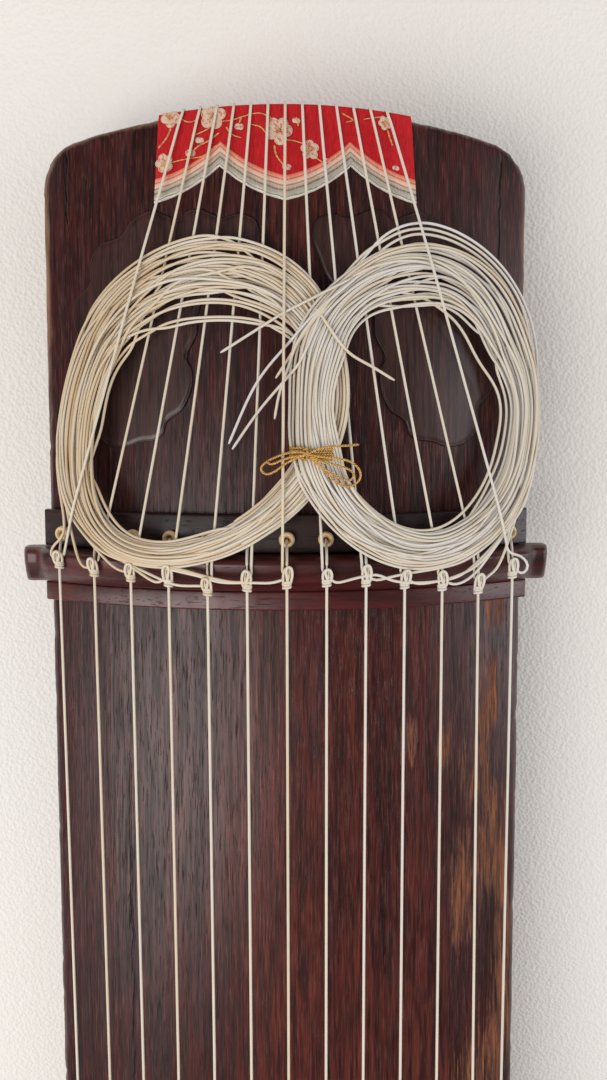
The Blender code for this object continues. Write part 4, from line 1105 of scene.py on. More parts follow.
def return_across(number):
    share = string_share(number)
    return share * TAIL_RIDGE_PITCH - (1 if share >= 0 else -1) * RETURN_OFFSET


def tail_hole_line(number):
    """From the crest down behind the ridge and into the hole."""
    share = string_share(number)
    across = share * TAIL_RIDGE_PITCH
    crest = crest_height(number)
    hole_across = share * TAIL_HOLE_PITCH
    seat = on_deck(hole_across, TAIL_HOLE_PLACE, HOLE_BLOCK_HEIGHT)
    run = np.array([hole_across * (HOLE_SLANT - 1), 0.0,
                    -(HOLE_BLOCK_HEIGHT + TOP_WALL + HOLE_RUN_BELOW)])
    shoulder = crest - STRING_SEAT - TAIL_RIDGE_HEIGHT * 0.28
    line = [points(across, TAIL_CREST_PLACE, crest)]
    line += list(arc_points(across, TAIL_RIDGE_START, shoulder, 0.0045, 100, 150, 4))
    into = seat - run / np.linalg.norm(run) * (BUSH_HEIGHT + 0.001)
    line += [into, seat + run * 0.25, seat + run]
    return line


def under_tail_line(number):
    """Out of the sound hole, along the back board and up round the tail end."""
    share = string_share(number)
    out_across = share * SOUND_HOLE_PITCH
    radius = SOUND_HOLE_LENGTH / 2
    edge_place = SOUND_HOLE_PLACE - math.sqrt(
        radius**2 - max(0.0, abs(out_across) - (SOUND_HOLE_WIDTH / 2 - radius)) ** 2)
    line = [points(out_across, edge_place + 0.007,
                   base(edge_place) + BOARD_THICKNESS + 2 * STRING_SEAT)]
    line += list(arc_points(out_across, edge_place, base(edge_place), STRING_SEAT * 1.6, 330, 270, 3))
    end_across = share * TAIL_END_PITCH
    edge = float(tail_edge(end_across))
    outside = 2 * GAP + CLOTH_THICKNESS + STRING_RADIUS
    line += list(arc_points(end_across, edge, base(edge), outside, 270, 180, 4))
    line += list(arc_points(end_across, edge, float(deck(end_across, edge)), outside, 180, 92, 5))
    return line


OVER_RINGS = (1, 7, 13)
ALL_SPARE = np.concatenate([evenly(line, 0.0015) for line in SPARE_LINES.values()])


def returning_line(number):
    """From the tail end to the knot; three of the strings pass over the rings and stay taut."""
    share = string_share(number)
    start = float(tail_edge(share * TAIL_END_PITCH)) + 0.003
    places = np.linspace(start, TAIL_CREST_PLACE, 160)
    part = places / TAIL_CREST_PLACE
    across = share * TAIL_END_PITCH * (1 - part) + return_across(number) * part
    heights = return_height(share, places)
    if number in OVER_RINGS:
        spots = points(across, places, heights)
        needed = np.maximum(heights, over_lines(spots, ALL_SPARE))
        needed[:6] = heights[:6]
        needed[-6:] = heights[-6:]
        heights = hull_over(places, needed)
    line = points(across, places, heights)
    knot = knot_place(number) - 0.0035
    last = points(return_across(number), knot, crest_height(number) + 0.0009)
    return [*line, last]


def hull_over(places, heights):
    """The lowest taut line over all the given heights."""
    kept = [0]
    for step in range(1, len(places)):
        while len(kept) > 1:
            a, b = kept[-2], kept[-1]
            slope = (heights[b] - heights[a]) / (places[b] - places[a])
            if heights[a] + slope * (places[step] - places[a]) > heights[step]:
                break
            kept.pop()
        kept.append(step)
    return np.interp(places, places[kept], heights[kept])


def head_fixed_line(number):
    """From the head ridge's inlay down to its bush and through the head plate."""
    across = string_share(number) * HEAD_RIDGE_PITCH
    seat = HEAD_RIDGE_HEIGHT + GAP + INLAY_HEIGHT + STRING_SEAT + GAP
    lift = GAP + HEAD_PLATE_THICKNESS + BUSH_HEIGHT + 0.001
    near = on_deck(across, HEAD_RIDGE_PLACE - INLAY_WIDTH, seat)
    far = on_deck(across, HEAD_RIDGE_PLACE + INLAY_WIDTH, seat)
    into = on_deck(across, HEAD_HOLE_PLACE, lift)
    inside = on_deck(across, HEAD_HOLE_PLACE, -TOP_WALL - 0.004)
    return [near, (near + far) / 2 + (0.0, 0.0, 0.0002), far, into, into - (0, 0, 0.0025), inside]


def stop_knot_lines(number):
    """The rolled toggle that stops a string inside the head."""
    across = string_share(number) * HEAD_RIDGE_PITCH
    top = on_deck(across, HEAD_HOLE_PLACE, -TOP_WALL - 0.0022)
    turn = np.linspace(0, 3 * 2 * math.pi, 40)
    coil = np.stack([np.cos(turn) * 0.0019, np.sin(turn) * 0.0019, -turn / turn[-1] * 0.0042], axis=1)
    return [top + coil]


fixed = []
for number in range(1, STRING_COUNT + 1):
    tone = (0.50 if ring_of(number) == "left" else 0.62) + tones.uniform(-0.1, 0.1)
    direction, crest, notch = string_direction(number)
    past_crest = crest + direction * 0.0002
    tail_part = [past_crest, *tail_hole_line(number)[1:]]
    tail_part = evenly(tail_part, 0.0009)
    under = evenly([*under_tail_line(number), *returning_line(number)], 0.0016)
    hole = evenly([tail_hole_line(number)[-1], under_tail_line(number)[0]], 0.003)
    head_part = evenly(head_fixed_line(number), 0.0009)
    lines = [relaxed(tail_part, 3), hole, relaxed(under, 2), relaxed(head_part, 2),
             *stop_knot_lines(number)]
    whole = make_tubes(f"string_{number:02d}_fixed_run", lines, STRAND_RADIUS, STRING_YARN, 8,
                       [tone] * len(lines))
    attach(whole, "instrument")
    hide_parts(f"string_{number:02d}")
    fixed.append(whole)
    low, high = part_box(f"bridge_{number:02d}")
    place = TAIL_Y - (low.y + high.y) / 2
    notch_height = high.z - 0.0012 + STRING_SEAT
    at_notch = points(string_across(number, place), place, notch_height)
    head_seat = head_fixed_line(number)[0]
    for part, far in (("tail", crest), ("head", head_seat)):
        run = evenly([far, at_notch], 0.006)
        piece = make_tubes(f"string_{number:02d}_{part}_run", [run], STRAND_RADIUS, STRING_YARN, 8,
                           [tone])
        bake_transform(piece)
print("fixed runs of", len(fixed), "strings")
# %% [markdown]
# ## Scorched paulownia
# A koto's body is planed paulownia whose face is scorched and rubbed with wax, so the hard lines of
# the grain stay dark and glossy and the soft ones turn brown. The grain runs straight along the log,
# so noise is stretched along Y: broad bands, lines between them and short fine dashes. Age shows as
# red-brown wear in the middle, pale brown edges, cracks near the tail and orange scuffs low on the
# right, where the finish has flaked off in streaks.

# %% Scorched paulownia


def grain_lines(paint, shift=0.0):
    """Straight grain at three widths, and the dark pores between the lines."""
    bands = paint.grain((70.0, 3.5, 70.0), 2.0, 2.0 + shift)
    lines = paint.grain((560.0, 8.0, 560.0), 2.0, 9.0 + shift)
    dashes = paint.grain((1700.0, 55.0, 1700.0), 2.0, 4.0 + shift)
    pores = paint.grain((1900.0, 30.0, 1900.0), 1.0, 17.0 + shift).between(0.60, 0.72)
    return bands, lines, dashes, pores


def spot(paint, across, along, half_across, half_along):
    """1 in the middle of an oval place on the deck, falling evenly to 0 at its edge."""
    x = (paint.axis("X") - across) / half_across
    y = (paint.axis("Y") - (TAIL_Y - along)) / half_along
    return 1 - (x * x + y * y).between(0.0, 1.0)


def crack_line(paint, across, first, last, wobble):
    """A thin dark line along the grain, wandering a little and fading at its ends."""
    y = paint.axis("Y")
    bend = paint.grain((0.0, 70.0, 0.0), 3.0, wobble) - 0.5
    away = (paint.axis("X") - across + bend * 0.0042).size()
    middle = TAIL_Y - (first + last) / 2
    inside = 1 - ((y - middle).size() / ((last - first) / 2)).between(0.75, 1.0)
    return (1 - away.between(0.0002, 0.0008)) * inside


SCUFFS = [(0.104, 0.281, 0.010, 0.030), (0.097, 0.318, 0.013, 0.034), (0.108, 0.360, 0.012, 0.040),
          (0.092, 0.385, 0.016, 0.050), (0.114, 0.440, 0.010, 0.090), (0.080, 0.306, 0.007, 0.022),
          (0.060, 0.300, 0.008, 0.020), (0.100, 0.520, 0.022, 0.080), (0.106, 0.235, 0.009, 0.020)]


def scorched_paulownia():
    paint = Paint("scorched_paulownia", Specular_IOR_Level=0.36)
    bands, lines, dashes, pores = grain_lines(paint)
    x = paint.axis("X")
    y = paint.axis("Y")
    patch = paint.grain((16.0, 7.0, 16.0), 4.0, 21.0)
    dark = paint.mix(lines.between(0.32, 0.66), (0.014, 0.0030, 0.0030), (0.054, 0.0115, 0.0105))
    worn = paint.mix(lines.between(0.34, 0.68), (0.040, 0.0075, 0.0060), (0.118, 0.0240, 0.0165))
    middle = 1 - ((x - 0.020).size() / 0.105).between(0.25, 1.0)
    low = 1 - (y - (TAIL_Y - 0.24)).between(-0.05, 0.08)
    rubbed = (middle * (0.16 + low * 0.50) + (bands - 0.5) * 1.5 + (patch - 0.5) * 0.8)
    rubbed = rubbed.between(0.02, 0.95)
    color = paint.mix(rubbed, dark, worn)
    # a purple-grey tint in patches, a little stronger towards the sides: partly faded, dusty wax and
    # partly a painted grey sheen
    dust_and_sheen = (paint.grain((95.0, 5.0, 95.0), 3.0, 41.0) + (0.10 - x.size()) * -0.9).between(0.42, 0.68)
    color = paint.mix(dust_and_sheen * 0.24, color, (0.082, 0.037, 0.042))
    color = paint.mix((1 - dashes).between(0.46, 0.74) * 0.56, color, (0.0085, 0.0028, 0.0026))
    color = paint.mix(dashes.between(0.54, 0.74) * 0.36, color, (0.190, 0.062, 0.040))
    ragged = paint.grain((620.0, 26.0, 620.0), 5.0, 13.0, rough=0.75)
    clumps = paint.grain((300.0, 20.0, 300.0), 4.0, 27.0, rough=0.7)
    sites = sum(spot(paint, *place) for place in SCUFFS)
    orange = (sites * 0.20 + ragged * 0.58 + clumps * 0.42).between(0.61, 0.75)
    color = paint.mix(orange * 0.60, color, paint.mix(ragged.between(0.4, 0.7), (0.105, 0.030, 0.012),
                                                      (0.400, 0.130, 0.030)))
    rim = paint.own("tone")
    at_tail = (y - (TAIL_Y - 0.12)).between(0.0, 0.08)
    edge = (rim * 0.15 + at_tail * 0.12 + patch * 0.6 + ragged * 0.4).between(0.66, 0.86)
    edge = edge * rim.between(0.15, 0.6)
    color = paint.mix(edge * 0.80, color, (0.240, 0.115, 0.058))
    cracks = crack_line(paint, -0.1065, 0.012, 0.050, 1.0) + crack_line(paint, 0.1045, 0.012, 0.065, 4.0)
    cracks = cracks + crack_line(paint, -0.0800, 0.30, 0.52, 8.0) * 0.6
    marks = (cracks + pores * 0.55).between(0.0, 1.0)
    color = paint.mix(marks * 0.85, color, (0.0040, 0.0018, 0.0016))
    roughness = 0.36 - lines.between(0.35, 0.65) * 0.12 + pores * 0.25 + orange * 0.3 + dashes * 0.10
    relief = lines * 0.00013 + dashes * 0.00005 + pores * -0.00008 + cracks * -0.0009
    return paint.done(color, roughness, relief + patch * 0.0006 + orange * -0.0001)


SCORCHED_PAULOWNIA = scorched_paulownia()

# %% [markdown]
# ## Plain wood for the inside and the back
# Inside and underneath, the paulownia is left plain: a warm brown with straight grain, darkened by
# age and never waxed.

# %% Plain wood


def plain_wood():
    paint = Paint("plain_paulownia", Specular_IOR_Level=0.25)
    bands, lines, dashes, pores = grain_lines(paint, 50.0)
    color = paint.ramp(
        lines * 0.65 + bands * 0.35,
        (0.25, (0.115, 0.062, 0.032)), (0.5, (0.205, 0.118, 0.064)), (0.75, (0.275, 0.170, 0.098)),
    )
    stain = paint.grain((7.0, 3.0, 7.0), 4.0, 3.0).between(0.40, 0.75)
    color = paint.mix(stain * 0.45, color, (0.085, 0.042, 0.024))
    color = paint.mix(pores * 0.6, color, (0.04, 0.02, 0.012))
    return paint.done(color, 0.62 + dashes * 0.2, lines * 0.0002 + pores * -0.0001)


PLAIN_WOOD = plain_wood()

# %% [markdown]
# ## Rosewood
# The ridges and fittings are dense rosewood: deep red with nearly black veins, tight pores and a
# hand-rubbed shine. One function makes the red wood of the ridge and the darker wood of the block.

# %% Rosewood


def rosewood(name, vein, heart, shine, shift, way=(14.0, 420.0, 420.0)):
    paint = Paint(name, Specular_IOR_Level=0.5, Coat_Roughness=0.22)
    veins = paint.grain((way[0] * 0.4, way[1] * 0.35, way[2] * 0.35), 4.0, shift, rough=0.6)
    fine = paint.grain(way, 3.0, shift + 3.0)
    pores = paint.grain((way[0] * 5.0, way[1] * 3.2, way[2] * 3.2), 1.0, shift + 8.0).between(0.62, 0.74)
    worn = paint.grain((30.0, 30.0, 30.0), 4.0, shift + 5.0)
    color = paint.mix((veins * 0.7 + fine * 0.3).between(0.34, 0.66), vein, heart)
    color = paint.mix(worn.between(0.50, 0.80) * 0.40, color, tuple(c * 2.1 + 0.012 for c in heart))
    color = paint.mix(pores * 0.7, color, tuple(c * 0.3 for c in vein))
    roughness = shine + worn * 0.20 + pores * 0.2
    return paint.done(color, roughness, fine * 0.00004 + pores * -0.00009 + worn * 0.00015,
                      coat=worn.between(0.25, 0.6) * 0.30)


RIDGE_ROSEWOOD = rosewood("ridge_rosewood", (0.026, 0.0036, 0.0038), (0.085, 0.0100, 0.0090), 0.34, 1.0)
STRIP_ROSEWOOD = rosewood("strip_rosewood", (0.032, 0.0040, 0.0042), (0.088, 0.0110, 0.0095), 0.28, 3.0)
BLOCK_ROSEWOOD = rosewood("block_rosewood", (0.012, 0.0050, 0.0055), (0.040, 0.0130, 0.0125), 0.34, 6.0)

# %% [markdown]
# ## The body
# The body is one carved log. Its outline has a bowed tail end with rounded corners, and its edges
# are worn round. Rows and columns crowd together near the edges, so that each point can be lowered
# by how close it is to the outline. Noise bites small chips out of the old edges. A second skin of
# plain wood lines the inside, where the sound holes let it be seen.

# %% The body
EDGE_ROUND = 0.0034
CORNER_DISTANCES = (0.0, 0.0002, 0.0007, 0.0015, 0.0026, 0.0041, 0.0062, 0.0090, 0.0125, 0.0170,
                    0.0220)
TAIL_ROWS = (0.0, 0.0004, 0.0009, 0.0016, 0.0025, 0.0036, 0.0050, 0.0070)


def outline_of_tail():
    across = np.sin(np.linspace(-math.pi / 2, math.pi / 2, 900)) * TAIL_WIDTH / 2
    return np.stack([across, tail_edge(across)], axis=1)


TAIL_OUTLINE = outline_of_tail()


def column_places(place, count=30):
    """Places across at one distance along, closer together near both edges."""
    half = half_width(place)
    inner = np.linspace(0.0, half - CORNER_DISTANCES[-1], count)[:-1]
    edge = half - np.array(CORNER_DISTANCES[::-1])
    right = np.concatenate([inner, edge])
    return np.concatenate([-right[:0:-1], right])


def distance_to_edge(across, along):
    """How far a point lies inside the outline, and the way out from there."""
    side = half_width(along) - np.abs(across)
    way = np.stack([np.sign(across), np.zeros_like(across)], axis=-1)
    distance = side.copy()
    near_tail = along < 0.045
    spots = np.stack([across[near_tail], along[near_tail]], axis=1)
    gaps = spots[:, None, :] - TAIL_OUTLINE[None, :, :]
    lengths = np.hypot(gaps[..., 0], gaps[..., 1])
    nearest = lengths.argmin(axis=1)
    tail = lengths[np.arange(len(spots)), nearest]
    slope = np.gradient(TAIL_OUTLINE, axis=0)[nearest]
    outward = np.stack([slope[:, 1], -slope[:, 0]], axis=1)
    outward /= np.linalg.norm(outward, axis=1)[:, None]
    closer = tail < distance[near_tail]
    rows = np.flatnonzero(near_tail.ravel())[closer]
    distance.ravel()[rows] = tail[closer]
    way.reshape(-1, 2)[rows] = outward[closer]
    return distance, way


def bites(across, along, depth=0.00045):
    """How deep the worn edge is bitten in at each point."""
    worn = []
    for x, s in zip(across, along):
        slow = noise.noise(Vector((x * 60, s * 60, 1.7)))
        quick = noise.noise(Vector((x * 260, s * 260, 5.1)))
        chip = max(0.0, noise.noise(Vector((x * 150, s * 150, 9.3))) - 0.34) * 5.0
        worn.append(depth * (0.5 + 0.5 * slow + 0.35 * quick) + 0.0007 * chip)
    return np.clip(worn, 0.0, 0.0016)


def make_body():
    fine_rows = np.arange(0.010, 0.62, 0.0032)
    coarse_rows = np.arange(0.62, LENGTH, 0.02)
    rows = np.concatenate([TAIL_ROWS, fine_rows, coarse_rows, [LENGTH - 0.0008, LENGTH]])
    across = np.array([column_places(row) for row in rows])
    fade = 1 - smooth_step(rows, 0.0, 0.30)[:, None]
    start = tail_edge(column_places(0.0))
    along = rows[:, None] + start[None, :] * fade
    along = np.minimum(along, LENGTH)
    distance, way = distance_to_edge(across, along)
    into = np.clip(EDGE_ROUND - distance, 0.0, EDGE_ROUND)
    drop = EDGE_ROUND - np.sqrt(EDGE_ROUND**2 - into**2)
    height = deck(across, along) - drop
    close = 1 - smooth_step(distance, 0.0, 0.006)
    worn = np.zeros_like(distance)
    touched = close > 0
    worn[touched] = bites(across[touched], along[touched]) * close[touched]
    top = points(across - way[..., 0] * worn, along - way[..., 1] * worn, height - worn * 0.5)
    count = top.shape[1]
    faces = grid_faces(len(rows), count)[0][:, ::-1]
    corners = top.reshape(-1, 3)
    index = np.arange(len(corners)).reshape(len(rows), count)
    rim = np.concatenate([index[::-1, 0], index[0, 1:], index[1:, -1], index[-1, -2:0:-1]])
    low = base(TAIL_Y - corners[rim, 1]) + BOARD_THICKNESS + GAP
    walls = [rim]
    extra = []
    rim_tones = [close.ravel()]
    for share in (0.06, 0.16, 0.45, 0.80, 0.97, 1.0):
        level = corners[rim].copy()
        level[:, 2] = corners[rim, 2] * (1 - share) + low * share
        extra.append(level)
        rim_tones.append(np.full(len(rim), max(0.0, 0.8 - 6 * share, 0.5 * (share == 1.0))))
        walls.append(len(corners) + (len(extra) - 1) * len(rim) + np.arange(len(rim)))
    all_corners = np.concatenate([corners, *extra])
    wall_faces = []
    for upper, lower in zip(walls, walls[1:]):
        wall_faces.append(np.stack([upper, np.roll(upper, -1), np.roll(lower, -1), lower], axis=1))
    faces = np.concatenate([faces, *wall_faces])
    lining, lining_faces = make_lining(len(all_corners))
    body = make_piece(
        "carved_body", np.concatenate([all_corners, lining]),
        np.concatenate([faces, lining_faces]), [SCORCHED_PAULOWNIA, PLAIN_WOOD],
        tone=np.concatenate([*rim_tones, np.zeros(len(lining))]),
    )
    material_index = np.zeros(len(faces) + len(lining_faces), dtype=np.int32)
    material_index[len(faces):] = 1
    body.data.polygons.foreach_set("material_index", material_index)
    body.data.update()
    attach(body, "instrument")
    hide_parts("top_shell")
    print("body mesh has", len(body.data.polygons), "faces")
    return body


def make_lining(first):
    """The hollow: an underside of the top wall, side walls and end walls."""
    rows = np.linspace(TAIL_BLOCK_LENGTH, LENGTH - HEAD_BLOCK_LENGTH, 90)
    shares = np.linspace(-1, 1, 25)
    across = shares[None, :] * (half_width(rows) - SIDE_WALL)[:, None]
    along = np.repeat(rows[:, None], len(shares), axis=1)
    roof = points(across, along, deck(across, along) - TOP_WALL)
    corners = roof.reshape(-1, 3)
    faces = grid_faces(len(rows), len(shares))[0]
    index = np.arange(len(corners)).reshape(len(rows), len(shares))
    rim = np.concatenate([index[::-1, 0], index[0, 1:], index[1:, -1], index[-1, -2:0:-1]])
    low = corners[rim].copy()
    low[:, 2] = base(TAIL_Y - low[:, 1]) + BOARD_THICKNESS + GAP
    bottom = len(corners) + np.arange(len(rim))
    walls = np.stack([rim, bottom, np.roll(bottom, -1), np.roll(rim, -1)], axis=1)
    return np.concatenate([corners, low]), np.concatenate([faces, walls]) + first


BODY = make_body()

# %% [markdown]
# ## The leaf plates
# Two raised oak-leaf plates lie on the tail, cut from a thin board with smoother, greyer wax and
# a small groove along their edge; the rim and the groove are painted near-black as shade. The outline
# goes through a few dozen places, and the plate is a fan of rings from its middle to that outline,
# so its rim can be rounded.

# %% The leaf plates
LEAF_THICKNESS = 0.0009
LEAF_PLACES = (
    (30, 49.4), (21.6, 47.8), (14.1, 50.6), (12.1, 57.9), (14.6, 65.1), (19.7, 76.9), (29, 84),
    (39, 88), (41.5, 93.7), (42.1, 102.4), (47.1, 113.6), (44.7, 119.2), (45, 127.6), (49.8, 138),
    (57.3, 143.7), (59.4, 149.4), (63.4, 152.3), (71, 153.3), (79.2, 155.8), (88, 154), (95, 146),
    (94.5, 137), (101, 129), (104, 117), (100, 106), (104, 97), (103, 85), (95, 77), (95, 68),
    (89, 59), (79, 56), (73, 49), (64, 45), (57, 47), (50.1, 49.5), (45.2, 45.6), (38.6, 45.5),
)


def leaf_wood():
    paint = Paint("leaf_paulownia", Specular_IOR_Level=0.5)
    bands, lines, dashes, pores = grain_lines(paint, 90.0)
    cloud = paint.grain((24.0, 14.0, 24.0), 4.0, 12.0)
    color = paint.mix(lines.between(0.34, 0.62), (0.017, 0.0060, 0.0054), (0.046, 0.0150, 0.0125))
    color = paint.mix(cloud.between(0.36, 0.68) * 0.35, color, (0.066, 0.030, 0.026))
    color = paint.mix(dashes.between(0.5, 0.7) * 0.25, color, (0.130, 0.056, 0.042))
    color = paint.mix(pores * 0.5, color, (0.006, 0.004, 0.004))
    # painted shade: where the tone is low, on the plate's rim and in its small groove, the colour goes
    # nearly black
    edge = paint.own("tone")
    color = paint.mix((1 - edge.between(0.06, 0.22)) * 0.85, color, (0.004, 0.002, 0.002))
    return paint.done(color, 0.28 + cloud * 0.14, lines * 0.00006 + dashes * 0.00002)


LEAF_WOOD = leaf_wood()


def make_leaf(side_name, side):
    flat = np.array([(side * x / 1000, s / 1000, 0.0) for x, s in LEAF_PLACES])
    outline = curve_through(flat, 0.0011, closed=True)[:-1]
    middle = outline.mean(axis=0)
    rings = []
    rim_shade_tones = []
    # each ring: inset, share of the thickness, tone; a low tone paints shade on the rim and in the groove
    levels = ((0.0, 0.0, 0.00), (0.0, 0.70, 0.03), (0.0003, 0.95, 0.10), (0.0006, 1.0, 0.30),
              (0.0010, 0.80, 0.12), (0.0013, 1.0, 0.30), (0.0034, 1.0, 1.0))
    away = middle - outline
    away /= np.linalg.norm(away, axis=1)[:, None]
    for inset, rise, tone in levels:
        ring = outline + away * inset
        rings.append(on_deck(ring[:, 0], ring[:, 1], GAP + LEAF_THICKNESS * rise - (rise == 0) * 0.0006))
        rim_shade_tones.append(np.full(len(ring), tone))
    start = outline + away * 0.0034
    for share in (0.25, 0.5, 0.75, 0.95):
        ring = start + (middle - start) * share
        rings.append(on_deck(ring[:, 0], ring[:, 1], GAP + LEAF_THICKNESS))
        rim_shade_tones.append(np.ones(len(ring)))
    corners = np.concatenate(rings)
    faces = grid_faces(len(rings), len(outline), closed=True)[0]
    if side < 0:
        faces = faces[:, ::-1]
    last = (len(rings) - 1) * len(outline)
    cap = list(range(last, last + len(outline)))
    piece = make_piece(f"leaf_{side_name}", corners, faces.tolist() + [cap], LEAF_WOOD,
                       tone=np.concatenate(rim_shade_tones))
    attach(piece, "instrument")
    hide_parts(f"leaf_plate_{side_name}")


make_leaf("right", 1)
make_leaf("left", -1)

# %% [markdown]
# ## Ridge, strip and block
# The tail ridge is a rosewood bar that stands across the deck, with ends that step down past the
# sides. Behind it lies the block with the string holes, and in front of it a flat strip. Each is a
# profile swept across the crown, with its ends rounded by drawing the profile in.

# %% Ridge, strip and block
RIDGE_END_ROUND = 0.006


def swept_bar(name, profile, half_span, surface, replaced, end_round=0.0015, step_down=None):
    """A bar across the deck: a closed profile of (place, height), drawn in at both ends."""
    middle_place = sum(place for place, _ in profile) / len(profile)
    low = min(height for _, height in profile)
    inner = np.linspace(-(half_span - end_round), half_span - end_round, 90)
    ends = half_span - end_round + end_round * np.sin(np.linspace(0, math.pi / 2, 7)[1:])
    across = np.concatenate([-ends[::-1], inner, ends])
    rows = []
    for x in across:
        into = max(0.0, abs(x) - (half_span - end_round)) / end_round
        draw = math.sqrt(max(0.0, 1 - into**2)) if into < 1 else 0.0
        draw = 0.45 + 0.55 * draw
        level = 1.0
        if step_down is not None:
            level = 1.0 - (1 - step_down) * float(smooth_step(abs(x), half_span - 0.012,
                                                              half_span - 0.0085))
        row = []
        for place, height in profile:
            at = middle_place + (place - middle_place) * (0.90 + 0.10 * draw)
            up = low + (height - low) * draw * level
            row.append(on_deck(x, at, up))
        rows.append(row)
    corners = np.array(rows).reshape(-1, 3)
    faces = grid_faces(len(across), len(profile), closed=True)[0].tolist()
    faces.append(list(range(len(profile) - 1, -1, -1)))
    faces.append(list(range(len(corners) - len(profile), len(corners))))
    piece = make_piece(name, corners, faces, surface)
    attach(piece, "instrument")
    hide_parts(replaced)
    return piece


def rounded_profile(corners, radius, steps=4):
    """A closed profile with each corner replaced by a small arc."""
    made = []
    count = len(corners)
    for number in range(count):
        here = np.array(corners[number])
        before = np.array(corners[number - 1])
        after = np.array(corners[(number + 1) % count])
        first = (before - here) / np.linalg.norm(before - here)
        second = (after - here) / np.linalg.norm(after - here)
        reach = min(radius, np.linalg.norm(before - here) * 0.45, np.linalg.norm(after - here) * 0.45)
        for share in np.linspace(0, 1, steps):
            start, end = here + first * reach, here + second * reach
            bend = (1 - share) ** 2 * start + 2 * share * (1 - share) * here + share**2 * end
            made.append(tuple(bend))
    return made


RIDGE_START = TAIL_RIDGE_START
RIDGE_END = RIDGE_START + 0.018
ridge_profile = rounded_profile((
    (RIDGE_START, GAP), (RIDGE_START, 0.0150), (RIDGE_START + 0.0012, 0.0190),
    (TAIL_CREST_PLACE, TAIL_RIDGE_HEIGHT), (TAIL_CREST_PLACE + 0.0042, 0.0188),
    (TAIL_CREST_PLACE + 0.0092, 0.0152), (TAIL_CREST_PLACE + 0.0134, 0.0100),
    (RIDGE_END, 0.0056), (RIDGE_END, GAP),
), 0.0012)
half_at_ridge = float(half_width(TAIL_CREST_PLACE))
swept_bar("ridge_bar", ridge_profile, half_at_ridge + 0.0112, RIDGE_ROSEWOOD,
          "tail_ridge", RIDGE_END_ROUND * 0.6, step_down=0.62)
STRIP_START = RIDGE_END + GAP
strip_profile = rounded_profile((
    (STRIP_START, GAP), (STRIP_START, 0.0045), (STRIP_START + 0.0092, 0.0045),
    (STRIP_START + 0.0092, GAP),
), 0.0009)
swept_bar("ridge_strip", strip_profile, half_at_ridge + 0.0016, STRIP_ROSEWOOD,
          "tail_ridge_strip", 0.0010)
BLOCK_START = RIDGE_START - GAP - 0.018
block_profile = rounded_profile((
    (BLOCK_START, GAP), (BLOCK_START, HOLE_BLOCK_HEIGHT),
    (BLOCK_START + 0.018, HOLE_BLOCK_HEIGHT), (BLOCK_START + 0.018, GAP),
), 0.0009)
swept_bar("hole_block", block_profile, half_at_ridge + 0.0014, BLOCK_ROSEWOOD,
          "string_hole_block", 0.0010)

# %% [markdown]
# ## The bushes
# Each string hole wears a small turned bead, pale where it is new and honey-brown where the string
# has rubbed it. A bead is a section turned round an axis that stands square to the crowned wood.

# %% The bushes


def bone():
    paint = Paint("turned_bead", Specular_IOR_Level=0.5)
    cloud = paint.grain(420.0, 4.0, 3.0)
    tone = paint.own("tone")
    rings_of_growth = paint.grain((260.0, 900.0, 900.0), 3.0, 8.0)
    color = paint.ramp(tone * 0.75 + cloud * 0.3, (0.2, (0.52, 0.30, 0.120)),
                       (0.5, (0.72, 0.500, 0.260)), (0.85, (0.80, 0.67, 0.46)))
    color = paint.mix(rings_of_growth.between(0.5, 0.7) * 0.35, color, (0.36, 0.20, 0.09))
    return paint.done(color, 0.34 + cloud * 0.2, cloud * 0.00008)


BEAD = bone()


def bead_profile(bore, outer, height):
    """Radius and height of points from the top of the bore, over the bead, to its foot."""
    angles = np.linspace(-0.35 * math.pi, 1.32 * math.pi, 15)
    middle = (bore + outer) / 2
    half = (outer - bore) / 2
    rows = [(middle + half * math.cos(a), height / 2 + height / 2 * math.sin(a)) for a in angles]
    return [rows[0], *rows[1:], (bore, -0.0012)]


def make_beads(name, pitch, place, surface, height, replaced, seed):
    shades = np.random.default_rng(seed)
    corners, faces, tone = [], [], []
    for number in range(1, STRING_COUNT + 1):
        across = string_share(number) * pitch
        step = 0.003
        rise = on_deck(across + step, place) - on_deck(across - step, place)
        run = on_deck(across, place - step) - on_deck(across, place + step)
        normal = np.cross(rise, run)
        normal /= np.linalg.norm(normal)
        first = rise / np.linalg.norm(rise)
        second = np.cross(normal, first)
        seat = on_deck(across, place, surface + GAP * 0.5)
        rows = bead_profile(0.00105, 0.0038, height)
        angles = np.arange(28) * 2 * math.pi / 28
        start = sum(len(some) for some in corners)
        made = [seat + r * (math.cos(a) * first + math.sin(a) * second) + h * normal
                for r, h in rows for a in angles]
        corners.append(np.array(made))
        faces.append(grid_faces(len(rows), 28, closed=True)[0][:, ::-1] + start)
        darker = [0.15 if h > height * 0.55 and r < 0.0021 else 1.0 for r, h in rows]
        own = shades.uniform(0.25, 1.0)
        tone.append(np.repeat([own * d for d in darker], 28))
    piece = make_piece(name, np.concatenate(corners), np.concatenate(faces), BEAD,
                       tone=np.concatenate(tone))
    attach(piece, "instrument")
    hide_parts(replaced)
    return piece


make_beads("tail_beads", TAIL_HOLE_PITCH, TAIL_HOLE_PLACE, HOLE_BLOCK_HEIGHT, 0.0042,
           "tail_bushes", 3)
make_beads("head_beads", HEAD_RIDGE_PITCH, HEAD_HOLE_PLACE, GAP + HEAD_PLATE_THICKNESS, 0.0028,
           "head_bushes", 5)

# %% [markdown]
# ## The tail cloth
# A rectangle of red brocade is stretched round the tail end under the strings. Its lower edge is cut
# in three points and bound with a layered ribbon of salmon, beige and silver. The cloth is a fine
# grid that follows the wood and is pressed a little under each string.

